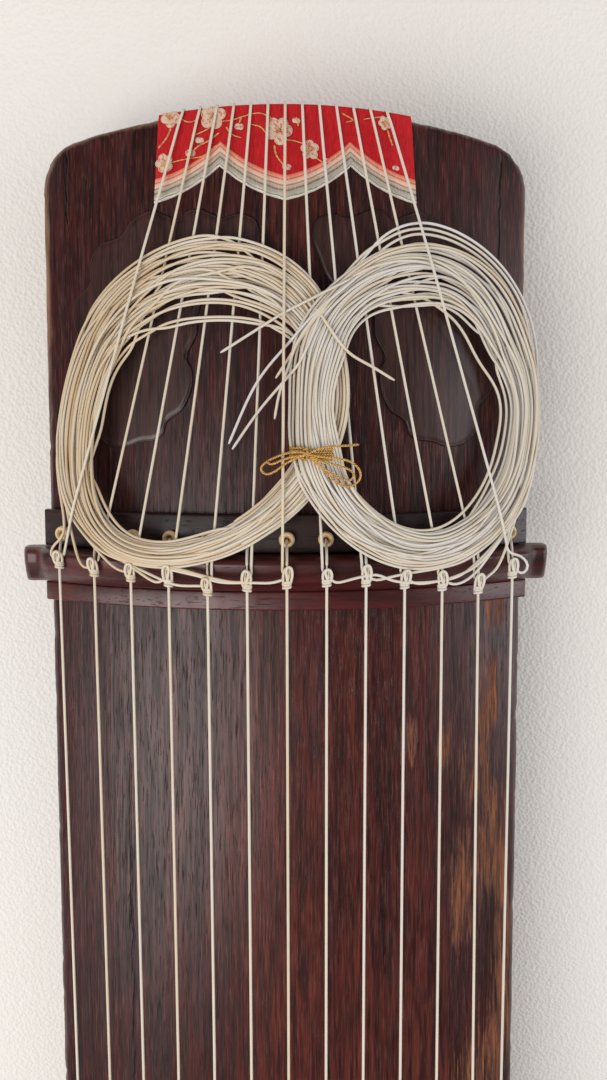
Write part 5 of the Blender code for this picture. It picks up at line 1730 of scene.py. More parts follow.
# %% The tail cloth
CLOTH_HALF_WIDTH = 0.0588
CLOTH_SPREAD = 1.2
CLOTH_UNDER_LENGTH = 0.018
SCALLOP_TIP = 0.0418
SCALLOP_CUSP = 0.0262
TIP_SLOPE = 0.42
CUSP_STEEPNESS = 2.2
TRIM_WIDTH = 0.011


def scallop(across):
    """The outer edge of the trim: it falls steeply from two notches and flattens towards its tips."""
    span = CLOTH_HALF_WIDTH / 2
    from_tip = np.clip(np.abs((np.abs(across) + span) % (2 * span) - span) / span, 0, 1)
    rise = TIP_SLOPE * from_tip + (1 - TIP_SLOPE) * from_tip**CUSP_STEEPNESS
    return SCALLOP_TIP + (SCALLOP_CUSP - SCALLOP_TIP) * rise


def on_cloth(column, place, lift=0.0):
    """A point of the cloth over the deck; it widens a little towards its lower edge."""
    across = column * (1 + CLOTH_SPREAD * np.maximum(0.0, place))
    return on_deck(across, place, GAP + CLOTH_THICKNESS + lift)


def brocade():
    paint = Paint("plum_brocade", Roughness=0.6, Specular_IOR_Level=0.2, Sheen_Weight=0.05)
    x = paint.axis("X")
    y = paint.axis("Y")
    ribs = (y + paint.axis("Z") + x * 0.25).wave(1700.0)
    warps = x.wave(2300.0)
    cloud = paint.grain((70.0, 70.0, 70.0), 4.0, 2.0)
    threads = paint.grain((2400.0, 260.0, 260.0), 2.0, 6.0)
    color = paint.mix(threads.between(0.35, 0.7), (0.400, 0.0036, 0.0072), (0.590, 0.0090, 0.0135))
    color = paint.mix(cloud.between(0.52, 0.8) * 0.4, color, (0.72, 0.030, 0.028))
    # painted shade: the colour darkens in the furrows between the woven ribs
    color = paint.mix((1 - ribs) * 0.22, color, (0.14, 0.001, 0.003))
    return paint.done(color, None, ribs * 0.00006 + warps * 0.00003 + cloud * 0.0004)


def ribbon():
    """Stripes across the width, from the cloth's side of the ribbon to its free edge."""
    paint = Paint("layered_ribbon", Specular_IOR_Level=0.3)
    across_ribbon = paint.own("tone")
    x = paint.axis("X")
    threads = paint.grain((2600.0, 300.0, 300.0), 2.0, 3.0)
    glint = paint.grain((1500.0, 1500.0, 1500.0), 2.0, 8.0)
    color = paint.ramp(
        across_ribbon + (glint - 0.5) * 0.03,
        (0.00, (0.66, 0.130, 0.070)), (0.15, (0.68, 0.240, 0.150)), (0.19, (0.36, 0.090, 0.060)),
        (0.24, (0.70, 0.390, 0.270)), (0.38, (0.66, 0.440, 0.330)), (0.43, (0.26, 0.120, 0.085)),
        (0.48, (0.54, 0.430, 0.320)), (0.58, (0.38, 0.295, 0.215)), (0.63, (0.120, 0.075, 0.055)),
        (0.68, (0.47, 0.420, 0.335)), (0.86, (0.42, 0.385, 0.315)), (0.90, (0.17, 0.140, 0.110)),
        (0.94, (0.66, 0.610, 0.520)), (1.0, (0.72, 0.68, 0.60)),
    )
    ribs = (x * 1.0).wave(900.0)
    color = paint.mix(threads.between(0.5, 0.8) * 0.3, color, (0.85, 0.80, 0.74))
    silver = across_ribbon.between(0.60, 0.68) * (1 - across_ribbon.between(0.84, 0.90))
    return paint.done(color, 0.55 - silver * 0.18, ribs * 0.00005 + threads * 0.00003,
                      metallic=silver * 0.2)


BROCADE = brocade()
RIBBON = ribbon()
CLOTH_COLUMNS = 113
CLOTH_OFFSET = GAP + CLOTH_THICKNESS


def press(across):
    """How far the strings press the cloth down, at places across."""
    shares = np.arange(-6, 7) * TAIL_END_PITCH
    away = np.abs(np.asarray(across)[..., None] - shares).min(axis=-1)
    return -0.00025 * (1 - smooth_step(away, 0.0002, 0.0018))


def make_cloth():
    columns = np.linspace(-CLOTH_HALF_WIDTH, CLOTH_HALF_WIDTH, CLOTH_COLUMNS)
    rows = []
    for share in np.linspace(0, 1, 8)[:-1]:
        place = CLOTH_UNDER_LENGTH + (tail_edge(columns) - CLOTH_UNDER_LENGTH) * share
        rows.append(points(columns, place, base(place) - CLOTH_OFFSET))
    edge = tail_edge(columns)
    for angle in np.radians(np.linspace(270, 180, 6)):
        rows.append(points(columns, edge + CLOTH_OFFSET * math.cos(angle),
                           base(edge) + CLOTH_OFFSET * math.sin(angle)))
    low = base(edge)
    high = deck(columns, edge)
    for share in np.linspace(0, 1, 14)[1:-1]:
        rows.append(points(columns, edge - CLOTH_OFFSET, low + (high - low) * share))
    for angle in np.radians(np.linspace(180, 90, 7)):
        rows.append(points(columns, edge + CLOTH_OFFSET * math.cos(angle),
                           high + CLOTH_OFFSET * math.sin(angle) + press(columns)))
    last = scallop(columns) - TRIM_WIDTH + 0.0014
    for share in np.linspace(0, 1, 30)[1:]:
        place = edge + (last - edge) * share
        rows.append(on_cloth(columns, place, press(columns * (1 + 2.2 * place))))
    corners = np.array(rows)
    cloth = make_piece("brocade_cloth", corners.reshape(-1, 3),
                       grid_faces(len(rows), CLOTH_COLUMNS)[0], BROCADE)
    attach(cloth, "instrument")
    length = float(np.linalg.norm(np.diff(corners[:, CLOTH_COLUMNS // 2], axis=0), axis=1).sum())
    area = 0.0
    for polygon in cloth.data.polygons:
        area += polygon.area
    return cloth, length, area


def make_ribbon():
    """A layered ribbon along the cut edge, each stripe slightly rounded."""
    columns = np.linspace(-CLOTH_HALF_WIDTH, CLOTH_HALF_WIDTH, 181)
    shares = np.linspace(0, 1, 45)
    stripes = ((0.0, 0.20), (0.20, 0.44), (0.44, 0.64), (0.64, 0.90), (0.90, 1.0))
    rows, tone = [], []
    for share in shares:
        inside = next((a, b) for a, b in stripes if a <= share <= b)
        swell = math.sin(math.pi * (share - inside[0]) / (inside[1] - inside[0]))
        place = scallop(columns) - TRIM_WIDTH * (1 - share)
        ruffle = 0.0002 * np.sin(columns * 900 + share * 9)
        rows.append(on_cloth(columns, place + ruffle * share, 0.00005 + 0.00045 * max(0, swell) ** 0.6
                             - 0.0003 * (share > 0.97)))
        tone.append(np.full(len(columns), share))
    rows.append(on_cloth(columns, scallop(columns), -CLOTH_THICKNESS))
    tone.append(np.ones(len(columns)))
    piece = make_piece("scalloped_ribbon", np.array(rows).reshape(-1, 3),
                       grid_faces(len(rows), len(columns))[0], RIBBON, tone=np.concatenate(tone))
    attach(piece, "instrument")
    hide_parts("cloth_trim")
    return piece


# %% [markdown]
# ## The embroidery
# The brocade shows plum blossoms on thin branches, a common pattern on such cloth. They are raised
# thread on the red ground: five round petals of cream thread with a pink rim, a ring of stamens, and
# branches of twisted gold thread. Each is a thin raised mesh on the cloth.

# %% The embroidery
BLOSSOMS = ((-53, 3.5, 4.8, 0.3), (-33, 4.0, 6.2, 1.1), (-3, 11, 6.6, 0.1), (11, 19.5, 4.6, 0.9),
            (46, 6.0, 3.4, 0.5), (-55, 24, 4.4, 1.9))
BUDS = ((-21, 9, 2.0), (-39, 14.5, 1.9), (-43, 20, 2.2), (0.5, 27, 1.9), (5, 6.5, 1.7),
        (50, 26, 1.5), (19, 24, 1.5))
BRANCHES = (
    ((-58, 17), (-54, 12), (-52, 7)),
    ((-57, 26), (-50, 23.5), (-44, 22.5), (-37, 21.5), (-31, 17)),
    ((-44, 22), (-40, 17.5), (-35, 15), (-30, 11.5)),
    ((-30, 6.5), (-24, 6.0), (-19, 4.5), (-12, 3.2), (-8, 4.5), (-5, 7)),
    ((-20, 5), (-21, 7.5)),
    ((-1, 15), (4, 15.5), (9, 17)),
    ((-5, 17.5), (-4, 22), (-1, 26)),
    ((13, 22.5), (17, 25)),
    ((26, 2.8), (31, 5.6), (28, 6.6)),
    ((47, 9), (48, 13), (49, 16)),
    ((5, 5), (6, 9)),
    ((-50, 3), (-45, 6), (-40, 5.5)),
    ((-41, 12), (-36, 10), (-33, 8)),
    ((-27, 9), (-24, 12.5), (-20, 14)),
    ((-16, 8), (-11, 9.5), (-8, 13)),
    ((36, 5), (41, 4), (45, 3.5)),
)


def thread_finish(name, dark, light, metallic, open_share=0.0):
    """Stitched thread; the open share of it lets the red ground show between the stitches."""
    paint = Paint(name, Roughness=0.5, Metallic=metallic, Sheen_Weight=0.2)
    threads = paint.grain((1900.0, 1900.0, 1900.0), 2.0, 4.0)
    stitches = (paint.axis("X") + paint.axis("Y") * 0.6).wave(1500.0)
    color = paint.mix(threads * 0.6 + stitches * 0.4, dark, light)
    gaps = paint.grain((620.0, 620.0, 620.0), 3.0, 14.0).between(0.50, 0.58)
    color = paint.mix(gaps * open_share, color, (0.52, 0.030, 0.024))
    return paint.done(color, None, stitches * 0.00005 + threads * 0.00003)


CREAM_THREAD = thread_finish("cream_thread", (0.46, 0.26, 0.17), (0.74, 0.60, 0.46), 0.0, 0.72)
ROSE_THREAD = thread_finish("rose_thread", (0.62, 0.42, 0.27), (0.82, 0.68, 0.50), 0.0)
GOLD_THREAD = thread_finish("gold_thread", (0.52, 0.24, 0.06), (0.86, 0.60, 0.24), 0.25, 0.45)


def over_the_end(column, place, lift):
    """A point on the cloth; one past the tail's edge bends down over the end with the cloth."""
    column, place = np.broadcast_arrays(np.asarray(column, float), np.asarray(place, float))
    edge = tail_edge(column)
    past = np.maximum(0.0, edge - place)
    radius = CLOTH_OFFSET + lift
    turn = np.minimum(past / radius, math.pi / 2)
    drop = np.maximum(0.0, past - radius * math.pi / 2)
    across = column * (1 + CLOTH_SPREAD * edge)
    bent = points(across, edge - radius * np.sin(turn),
                  deck(across, edge) + radius * np.cos(turn) - drop)
    return np.where((past > 0)[..., None], bent, on_cloth(column, place, lift))


def petal(middle, size, lift):
    """A round petal on the cloth: rings from a raised middle to a low rim."""
    corners, faces = [], []
    steps = 14
    for share, rise in ((0.0, 0.00022), (0.45, 0.00022), (0.80, 0.00018), (1.0, 0.0)):
        for step in range(steps):
            turn = 2 * math.pi * step / steps
            x = middle[0] + size * share * math.cos(turn)
            s = middle[1] + size * share * math.sin(turn)
            corners.append(over_the_end(x, s, lift + rise))
    return np.array(corners), grid_faces(4, steps, closed=True)[0]


def make_blossoms():
    cream_corners, cream_faces = [], []
    rims, stamens = [], []
    count = 0
    hand = np.random.default_rng(8)

    def add(some, quads):
        nonlocal count
        cream_corners.append(some)
        cream_faces.append(quads + count)
        count += len(some)

    for x, s, size, turn in BLOSSOMS:
        centre = np.array((x, s)) / 1000
        for number in range(5):
            angle = turn + number * 2 * math.pi / 5 + hand.uniform(-0.12, 0.12)
            middle = centre + np.array((math.cos(angle), math.sin(angle))) * size * 0.00055
            radius = size * 0.00043 * hand.uniform(0.85, 1.12)
            add(*petal(middle, radius, 0.00012 + 0.00002 * number))
            arc = angle + np.linspace(-2.3, 2.3, 15)
            for inset in (0.96, 0.55):
                rims.append(over_the_end(middle[0] + radius * inset * np.cos(arc),
                                         middle[1] + radius * inset * np.sin(arc), 0.00038))
        for number in range(7):
            angle = number * 2 * math.pi / 7 + hand.uniform(-0.2, 0.2)
            tip = centre + np.array((math.cos(angle), math.sin(angle))) * size * 0.00036
            stamens.append(over_the_end(np.linspace(centre[0], tip[0], 4),
                                        np.linspace(centre[1], tip[1], 4), 0.00045))
    for x, s, size in BUDS:
        centre = np.array((x, s)) / 1000
        for shift in (-0.4, 0.4):
            middle = centre + np.array((shift, 0.15 * shift)) * size / 1000
            add(*petal(middle, size * 0.00070, 0.00014))
    cream = make_piece("cream_blossoms", np.concatenate(cream_corners),
                       np.concatenate(cream_faces), CREAM_THREAD)
    outlines = make_tubes("blossom_outlines", rims, 0.00011, ROSE_THREAD, 5)
    branches = []
    for row in BRANCHES:
        row = np.array(row) / 1000
        line = on_cloth(row[:, 0], row[:, 1], 0.0002)
        line = curve_through(line, 0.0006)
        for phase in (0.0, math.pi):
            swing = np.sin(np.arange(len(line)) * 0.9 + phase)
            twisted = line.copy()
            twisted[:, 0] += swing * 0.00028
            twisted[:, 2] += np.cos(np.arange(len(line)) * 0.9 + phase) * 0.00012
            branches.append(twisted)
    gold = make_tubes("gold_branches", branches + stamens, 0.00022, GOLD_THREAD, 6)
    for piece in (cream, outlines, gold):
        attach(piece, "instrument")
    return cream, outlines, gold


CLOTH, cloth_length, cloth_area = make_cloth()
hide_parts("tail_cloth")
embroidery = make_blossoms()
make_ribbon()
print("cloth", round(cloth_length, 3), "m long, area", round(cloth_area, 4))

# %% [markdown]
# ## The gold tie
# A thin cord of gold thread is wound four times round both rings where they lie together and tied
# in a small bow. The wraps go round everything that crosses there, so their section is the hull of
# the settled strands. Two plies twisted round each other give the cord its relief; the furrows
# between them are painted dark as shade, and bright painted glints give it its sparkle.

# %% The gold tie
TIE_WRAPS = 5
TIE_STEP = 0.00112
TIE_THREAD = TIE_DIAMETER * 0.82


def gold_cord():
    paint = Paint("twisted_gold", Metallic=0.2, Specular_IOR_Level=0.6)
    around = paint.axis("X", paint.run)
    along = paint.axis("Y", paint.run)
    plies = (around + along * 250.0).wave(3.0)
    glint_cells = paint.cells((2300.0, 2300.0, 2300.0), 2.0)
    # painted shade: the furrows between the two plies are coloured dark brown
    color = paint.mix(plies.between(0.15, 0.75), (0.150, 0.052, 0.006), (0.72, 0.36, 0.050))
    # painted glints: bright gold-white spots in the colour, where the cells are also smoother
    color = paint.mix(glint_cells.between(0.50, 0.22) * 0.7, color, (1.0, 0.80, 0.34))
    return paint.done(color, 0.26 + glint_cells * 0.25, plies * 0.00018)


GOLD_CORD = gold_cord()


def bundle_section():
    """Across and height of every strand that passes inside the tie."""
    held = []
    for line in SPARE_LINES.values():
        near = np.abs(TAIL_Y - line[:, 1] - TIE_PLACE) < 0.0025
        inside = (line[:, 0] > TIE_ACROSS[0] - 0.002) & (line[:, 0] < TIE_ACROSS[1])
        held.append(line[near & inside][:, [0, 2]])
    return np.concatenate(held)


def convex_hull(spots):
    spots = sorted(map(tuple, np.round(spots, 6)))

    def half(rows):
        kept = []
        for spot in rows:
            while len(kept) > 1 and (
                (kept[-1][0] - kept[-2][0]) * (spot[1] - kept[-2][1])
                - (kept[-1][1] - kept[-2][1]) * (spot[0] - kept[-2][0])
            ) <= 0:
                kept.pop()
            kept.append(spot)
        return kept[:-1]

    return np.array(half(spots) + half(spots[::-1]))


def tie_line():
    hull = convex_hull(bundle_section())
    middle = hull.mean(axis=0)
    outward = hull - middle
    outward /= np.linalg.norm(outward, axis=1)[:, None]
    around = hull + outward * (STRING_RADIUS + TIE_THREAD / 2)
    ring = np.concatenate([around, around[:1]])
    ring = evenly(np.stack([ring[:, 0], ring[:, 1], ring[:, 0] * 0], axis=1), 0.0008)[:-1, :2]
    for _ in range(4):
        ring = (np.roll(ring, 1, axis=0) + 2 * ring + np.roll(ring, -1, axis=0)) / 4
    top = int(np.argmax(ring[:, 1] - np.abs(ring[:, 0] - 0.008) * 0.3))
    ring = np.roll(ring, -top, axis=0)
    wraps = []
    for step in range(TIE_WRAPS * len(ring) + 1):
        x, z = ring[step % len(ring)]
        turn = step / len(ring)
        place = TIE_PLACE + TIE_STEP * (turn - TIE_WRAPS / 2)
        wraps.append(points(x, place, z + 0.0001 * math.sin(turn * 17)))
    peak = wraps[0][2]
    knot_x = ring[0][0]

    def bow(rows):
        """Places in millimetres across, along and up from the middle of the knot."""
        return [points(knot_x + x / 1000, TIE_PLACE + s / 1000, peak + z / 1000) for x, s, z in rows]

    left_bow = bow(((1.5, 0.5, 1.6), (-2, -1.0, 2.2), (-7, -0.8, 2.0), (-13, 1.2, 0.6),
                    (-17.5, 3.6, -1.2), (-20, 6.5, -2.2), (-18, 9.0, -2.4), (-14, 8.0, -1.6),
                    (-10, 5.0, 0.0), (-5, 2.0, 1.6), (-1, 0.4, 2.4), (2, 0.2, 2.2)))
    right_bow = bow(((6, 1.0, 2.0), (11, 1.6, 1.2), (17, 2.4, 0.2), (21.5, 4.2, -1.2),
                     (24.5, 7.5, -2.4), (24.8, 11.0, -3.0), (22, 14.0, -3.2), (18.5, 14.8, -2.8),
                     (14, 12.5, -1.6), (10, 9.0, -0.2), (6, 4.5, 1.6), (3, 0.8, 2.4),
                     (0, -0.8, 2.2)))
    return np.array(wraps), left_bow, right_bow


def make_tie():
    wraps, left_bow, right_bow = tie_line()
    line = np.concatenate([wraps[:-3], left_bow, right_bow])
    line = relaxed(curve_through(line[::1], 0.0007), 2)
    line = line[np.concatenate([[True], np.linalg.norm(np.diff(line, axis=0), axis=1) > 1e-6])]
    piece = make_tubes("gold_tie", [line], TIE_THREAD / 2, GOLD_CORD, 9)
    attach(piece, "instrument")
    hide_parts("coil_tie")
    peak = wraps[0][2]
    knot_x = wraps[0][0]
    turn = np.linspace(0, 2 * math.pi * 2.2, 46)
    band = points(knot_x + 0.0017 * np.cos(turn) * 0.6, TIE_PLACE + 0.0024 * np.sin(turn),
                  peak + 0.0009 + 0.0011 * np.cos(turn) + turn * 0.00004)
    loose = [band]
    for rows in (((1, 0, 2), (6, -2.4, 2.0), (13, -3.6, 1.4), (19, -3.8, 0.4), (24, -4.2, -0.8)),
                 ((1, 0.4, 2.2), (-5, 0.9, 2.4), (-10, 2.4, 1.6), (-15.5, 4.4, 0.2), (-17.5, 3.0, 0)),
                 ((2, 0.6, 2.3), (8, 3.4, 1.6), (13, 4.6, 0.6), (18, 6.2, -0.8), (21.6, 8.6, -1.9),
                  (21.0, 11.4, -2.4), (17, 11.6, -1.8), (12, 8.6, -0.4), (7, 5.6, 1.2), (2, 1.0, 2.5))):
        loose.append(curve_through(
            [points(knot_x + x / 1000, TIE_PLACE + s / 1000, peak + z / 1000) for x, s, z in rows],
            0.0007))
    band_piece = make_tubes("gold_tie_knot", loose, TIE_THREAD / 2, GOLD_CORD, 9)
    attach(band_piece, "instrument")
    print("tie length", round(line_length(line), 3), "m")


make_tie()

# %% [markdown]
# ## The bridges
# A movable bridge stands under each string on two feet. Its sides are hollowed, its top is narrow
# and holds the string in a notch. The outline goes through a few places and is drawn as a smooth
# curve, the plate gets thinner towards its top, and its rims are rounded by insetting both faces.

# %% The bridges
BRIDGE_HEIGHT = 0.055
BRIDGE_FOOT_SPAN = 0.044
BRIDGE_FOOT_WIDTH = 0.008
BRIDGE_FOOT_DEPTH = 0.013
BRIDGE_TOP_WIDTH = 0.008
BRIDGE_ARCH_HEIGHT = 0.019
BRIDGE_NOTCH_WIDTH = 0.0026
BRIDGE_NOTCH_DEPTH = 0.0012
FOOT_GAP = GAP + 0.0003


def ivory():
    paint = Paint("bridge_ivory", Specular_IOR_Level=0.5, Coat_Weight=0.15, Coat_Roughness=0.25)
    cloud = paint.grain(60.0, 4.0, 2.0)
    veins = paint.grain((160.0, 160.0, 18.0), 3.0, 5.0)
    scratches = paint.grain((900.0, 900.0, 60.0), 2.0, 9.0)
    color = paint.mix(cloud, (0.71, 0.655, 0.535), (0.80, 0.765, 0.675))
    color = paint.mix(veins.between(0.52, 0.74) * 0.30, color, (0.60, 0.50, 0.35))
    return paint.done(color, 0.30 + scratches * 0.22, scratches * 0.00003 + cloud * 0.0001)


IVORY = ivory()


def bridge_outline():
    """Half of the outline from the middle of the arch, round a foot and up to the notch."""
    outer = BRIDGE_FOOT_SPAN / 2
    inner = outer - BRIDGE_FOOT_WIDTH
    top = BRIDGE_TOP_WIDTH / 2
    high = BRIDGE_HEIGHT
    arch_side = curve_through(((-inner * 0.45, BRIDGE_ARCH_HEIGHT * 0.88, 0),
                               (0, BRIDGE_ARCH_HEIGHT, 0),
                               (inner * 0.45, BRIDGE_ARCH_HEIGHT * 0.88, 0),
                               (inner * 0.80, BRIDGE_ARCH_HEIGHT * 0.50, 0),
                               (inner, 0.0, 0)), 0.0016)
    arch_side = arch_side[arch_side[:, 0] > -0.0004]
    flank = curve_through(((outer, 0.0, 0), (outer * 0.94, high * 0.07, 0),
                           (outer * 0.62, high * 0.27, 0), (outer * 0.36, high * 0.58, 0),
                           (top * 0.98, high * 0.88, 0), (top, high * 0.97, 0)), 0.002)
    half_notch = BRIDGE_NOTCH_WIDTH / 2
    crown = ((top - 0.0006, high, 0), (half_notch + 0.0005, high, 0),
             (half_notch, high - BRIDGE_NOTCH_DEPTH * 0.5, 0),
             (half_notch * 0.7, high - BRIDGE_NOTCH_DEPTH * 0.92, 0),
             (0.0, high - BRIDGE_NOTCH_DEPTH, 0))
    return np.concatenate([arch_side, flank, crown])[:, :2]


def make_bridge(number):
    name = f"bridge_{number:02d}"
    low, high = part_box(name)
    place = TAIL_Y - (low.y + high.y) / 2
    target = string_across(number, place)
    half = BRIDGE_FOOT_SPAN / 2
    across = target
    for _ in range(12):
        rise = deck(across + half, place) - deck(across - half, place)
        lean = -math.atan2(rise, 2 * half)
        across = target - BRIDGE_HEIGHT * math.sin(lean)
    foot_height = float(deck(across + half, place) + deck(across - half, place)) / 2 + FOOT_GAP
    right = bridge_outline()
    left = right[::-1].copy()
    left[:, 0] *= -1
    outline = np.concatenate([right, left[1:-1]])
    outline = outline[np.abs(outline[:, 0]) > -1]
    middle = np.array((0.0, BRIDGE_HEIGHT * 0.5))
    tangent = np.roll(outline, -1, axis=0) - np.roll(outline, 1, axis=0)
    inward = np.stack([tangent[:, 1], -tangent[:, 0]], axis=1)
    inward /= np.linalg.norm(inward, axis=1)[:, None] + 1e-9
    if np.sum(inward * (middle - outline)) < 0:
        inward = -inward
    rings = []
    for side_share, inset in ((-1.0, 0.0011), (-0.94, 0.0004), (-0.82, 0.0), (0.82, 0.0), (0.94, 0.0004),
                              (1.0, 0.0011)):
        ring = outline + inward * inset
        ring[:, 1] = np.maximum(ring[:, 1], 0.0)
        up = ring[:, 1] / BRIDGE_HEIGHT
        waist = 1 - 0.16 * np.sin(np.clip(up, 0, 1) * math.pi)
        depth = (BRIDGE_FOOT_DEPTH + (BRIDGE_TOP_DEPTH - BRIDGE_FOOT_DEPTH) * up) * waist
        at = place + side_share * depth / 2
        x = across + ring[:, 0] * math.cos(lean) + ring[:, 1] * math.sin(lean)
        z = foot_height - ring[:, 0] * math.sin(lean) + ring[:, 1] * math.cos(lean)
        on_foot = ring[:, 1] < 0.0002
        z = np.where(on_foot, deck(x, at) + FOOT_GAP, z)
        rings.append(points(x, at, z))
    corners = np.concatenate(rings)
    faces = grid_faces(len(rings), len(outline), closed=True)[0].tolist()
    faces.append(list(range(len(outline) - 1, -1, -1)))
    faces.append(list(range(len(corners) - len(outline), len(corners))))
    piece = make_piece(f"movable_{name}", corners, faces, IVORY)
    piece.data.set_sharp_from_angle(angle=math.radians(50))
    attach(piece, name)
    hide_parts(name)


for number in range(1, STRING_COUNT + 1):
    make_bridge(number)

# %% [markdown]
# ## The head
# The head is closed by a dark board with a raised oval, the dragon's tongue. The strings cross a
# fixed ridge with a pale inlay and go down through a plate. The flat pieces keep the rigid solids
# that came with the frame. They only get a small bevel and their own wood.

# %% The head
head_profile = rounded_profile((
    (HEAD_RIDGE_PLACE - 0.007, GAP), (HEAD_RIDGE_PLACE - 0.007, 0.0085),
    (HEAD_RIDGE_PLACE - INLAY_WIDTH, HEAD_RIDGE_HEIGHT),
    (HEAD_RIDGE_PLACE + INLAY_WIDTH, HEAD_RIDGE_HEIGHT), (HEAD_RIDGE_PLACE + 0.007, 0.0085),
    (HEAD_RIDGE_PLACE + 0.007, GAP),
), 0.0011)
swept_bar("head_ridge_bar", head_profile, 0.111, RIDGE_ROSEWOOD, "head_ridge", 0.003)
inlay_profile = rounded_profile((
    (HEAD_RIDGE_PLACE - 0.002, HEAD_RIDGE_HEIGHT + GAP),
    (HEAD_RIDGE_PLACE - 0.002, HEAD_RIDGE_HEIGHT + GAP + INLAY_HEIGHT),
    (HEAD_RIDGE_PLACE + 0.002, HEAD_RIDGE_HEIGHT + GAP + INLAY_HEIGHT),
    (HEAD_RIDGE_PLACE + 0.002, HEAD_RIDGE_HEIGHT + GAP),
), 0.0004)
swept_bar("head_inlay", inlay_profile, 0.109, IVORY, "head_ridge_inlay", 0.0006)


def make_head_plate():
    """A thin plate over the crowned head, from the ridge to the end, with rounded rims."""
    low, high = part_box("head_plate")
    first, last = TAIL_Y - high.y, TAIL_Y - low.y
    rims = ((0.0, GAP), (0.0, 0.6), (0.0003, 0.9), (0.0010, 1.0))
    rows = [(first + inset, rise) for inset, rise in rims]
    rows += [(place, 1.0) for place in np.linspace(first + 0.004, last - 0.004, 30)]
    rows += [(last - inset, rise) for inset, rise in rims[::-1]]
    shares = np.sin(np.linspace(-math.pi / 2, math.pi / 2, 121))
    corners = []
    for place, rise in rows:
        across = shares * (float(half_width(place)) - 0.0006)
        height = rise if rise == GAP else GAP + HEAD_PLATE_THICKNESS * rise
        row = on_deck(across, np.full_like(across, place), height)
        row[:, 2] -= (1 - np.abs(shares) < 0.0012) * HEAD_PLATE_THICKNESS * 0.3 * rise
        corners.append(row)
    top = np.concatenate(corners)
    faces = grid_faces(len(rows), len(shares))[0]
    index = np.arange(len(top)).reshape(len(rows), len(shares))
    sides = []
    for column, turn in ((index[:, 0], False), (index[:, -1], True)):
        foot = len(top) + len(sides) * len(rows) + np.arange(len(rows))
        low_row = top[column].copy()
        low_row[:, 2] = on_deck(low_row[:, 0], TAIL_Y - low_row[:, 1], GAP)[:, 2]
        quads = np.stack([column[:-1], column[1:], foot[1:], foot[:-1]], axis=1)
        sides.append((low_row, quads[:, ::-1] if turn else quads))
    piece = make_piece(
        "head_cover_plate", np.concatenate([top, *(low_row for low_row, _ in sides)]),
        np.concatenate([faces[:, ::-1], *(quads for _, quads in sides)]), BLOCK_ROSEWOOD,
    )
    piece.data.set_sharp_from_angle(angle=math.radians(50))
    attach(piece, "instrument")
    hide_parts("head_plate")


make_head_plate()
KEPT_NODES = {
    "back_board": (PLAIN_WOOD, 0.0007), "brace_tail": (PLAIN_WOOD, 0.0007),
    "brace_middle": (PLAIN_WOOD, 0.0007), "brace_head": (PLAIN_WOOD, 0.0007),
    "head_end_board": (BLOCK_ROSEWOOD, 0.0008),
    "dragon_tongue": (RIDGE_ROSEWOOD, 0.0007), "front_leg_left": (BLOCK_ROSEWOOD, 0.0018),
    "front_leg_right": (BLOCK_ROSEWOOD, 0.0018), "rear_foot_left": (BLOCK_ROSEWOOD, 0.0012),
    "rear_foot_right": (BLOCK_ROSEWOOD, 0.0012),
}
for name, (surface, bevel_width) in KEPT_NODES.items():
    node = frame["nodes"][name]
    for number in range(len(node.material_slots)):
        node.material_slots[number].material = surface
    bevel = node.modifiers.new("worn_edges", "BEVEL")
    bevel.width = bevel_width
    bevel.segments = 3
    bevel.limit_method = "ANGLE"
    bevel.angle_limit = math.radians(35)
print("kept nodes", len(KEPT_NODES))

# %% [markdown]
# ## Floor and light
# The pale floor stands for the wall that the koto leant on. A wide soft lamp on the left stands for
# the window: the wood below the ridge mirrors it as a grey sheen, and the tail end doesn't. A second
# one opposite fills. The room lights everything evenly, but polished wood sees it darker, as it
# would see the furniture of a room.

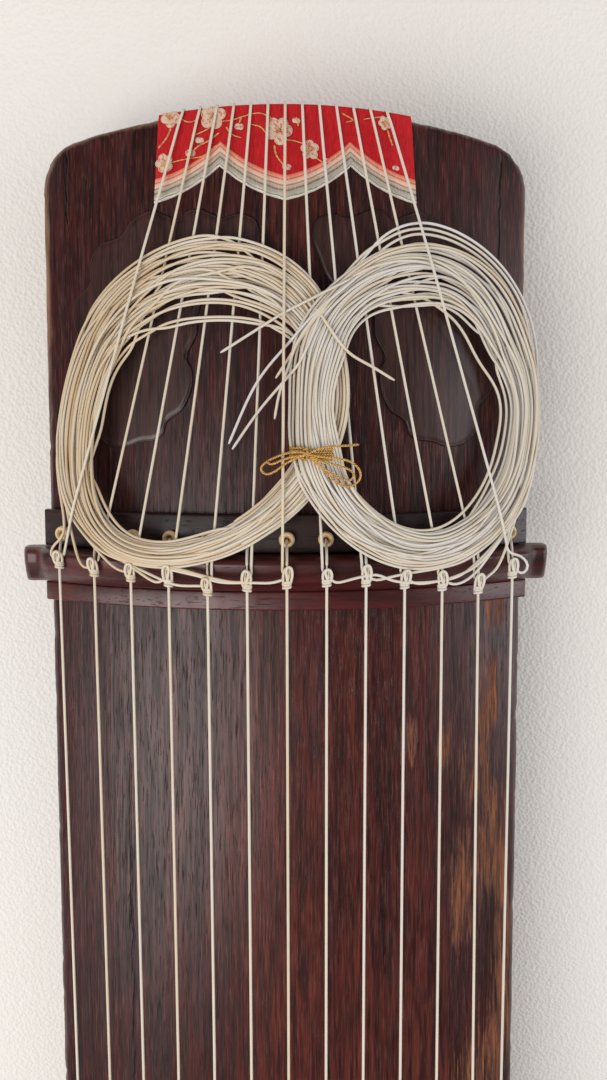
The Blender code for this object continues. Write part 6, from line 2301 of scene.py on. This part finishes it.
# %% Floor and light


def make_floor():
    paint = Paint("pale_floor", Roughness=0.9, Specular_IOR_Level=0.1)
    weave = paint.cells((520.0, 520.0, 520.0), 0.0)
    cloud = paint.grain(1.2, 2.0, 5.0)
    color = paint.mix(cloud, (0.75, 0.700, 0.645), (0.80, 0.780, 0.755))
    finished = paint.done(color, None, weave * 0.0004)
    corners = [(-6.0, -6.0, 0.0), (6.0, -6.0, 0.0), (6.0, 6.0, 0.0), (-6.0, 6.0, 0.0)]
    floor = make_piece("floor", corners, [(0, 1, 2, 3)], finished, smooth=False)


make_floor()


def soft_lamp(name, place, target, size, power, color):
    data = bpy.data.lights.new(name, "AREA")
    data.shape = "RECTANGLE"
    data.size, data.size_y = size
    data.energy = power
    data.color = color
    lamp = bpy.data.objects.new(name, data)
    lamp.location = place
    lamp.rotation_euler = (Vector(target) - Vector(place)).to_track_quat("-Z", "Y").to_euler()
    bpy.context.scene.collection.objects.link(lamp)


below_ridge = (-0.05, TAIL_Y - 0.36, 0.09)
soft_lamp("window_lamp", (-0.66, TAIL_Y - 0.58, 1.10), below_ridge, (0.72, 1.00), 12.0, (1.0, 0.975, 0.95))
soft_lamp("fill_lamp", (2.5, TAIL_Y - 0.3, 1.0), (0.0, 0.4, 0.1), (1.4, 2.0), 32.0, (0.95, 0.97, 1.0))


def make_room(strength=0.62, mirrored=0.04):
    world = bpy.data.worlds.new("pale_room")
    world.use_nodes = True
    tree = world.node_tree
    sky = tree.nodes["Background"]
    sky.inputs["Color"].default_value = (0.985, 0.98, 0.985, 1.0)
    ray = tree.nodes.new("ShaderNodeLightPath")
    dimmer = tree.nodes.new("ShaderNodeMapRange")
    dimmer.inputs["To Min"].default_value = strength
    dimmer.inputs["To Max"].default_value = mirrored
    tree.links.new(ray.outputs["Is Glossy Ray"], dimmer.inputs["Value"])
    tree.links.new(dimmer.outputs["Result"], sky.inputs["Strength"])
    bpy.context.scene.world = world


make_room()
bpy.context.scene.view_settings.view_transform = "Standard"
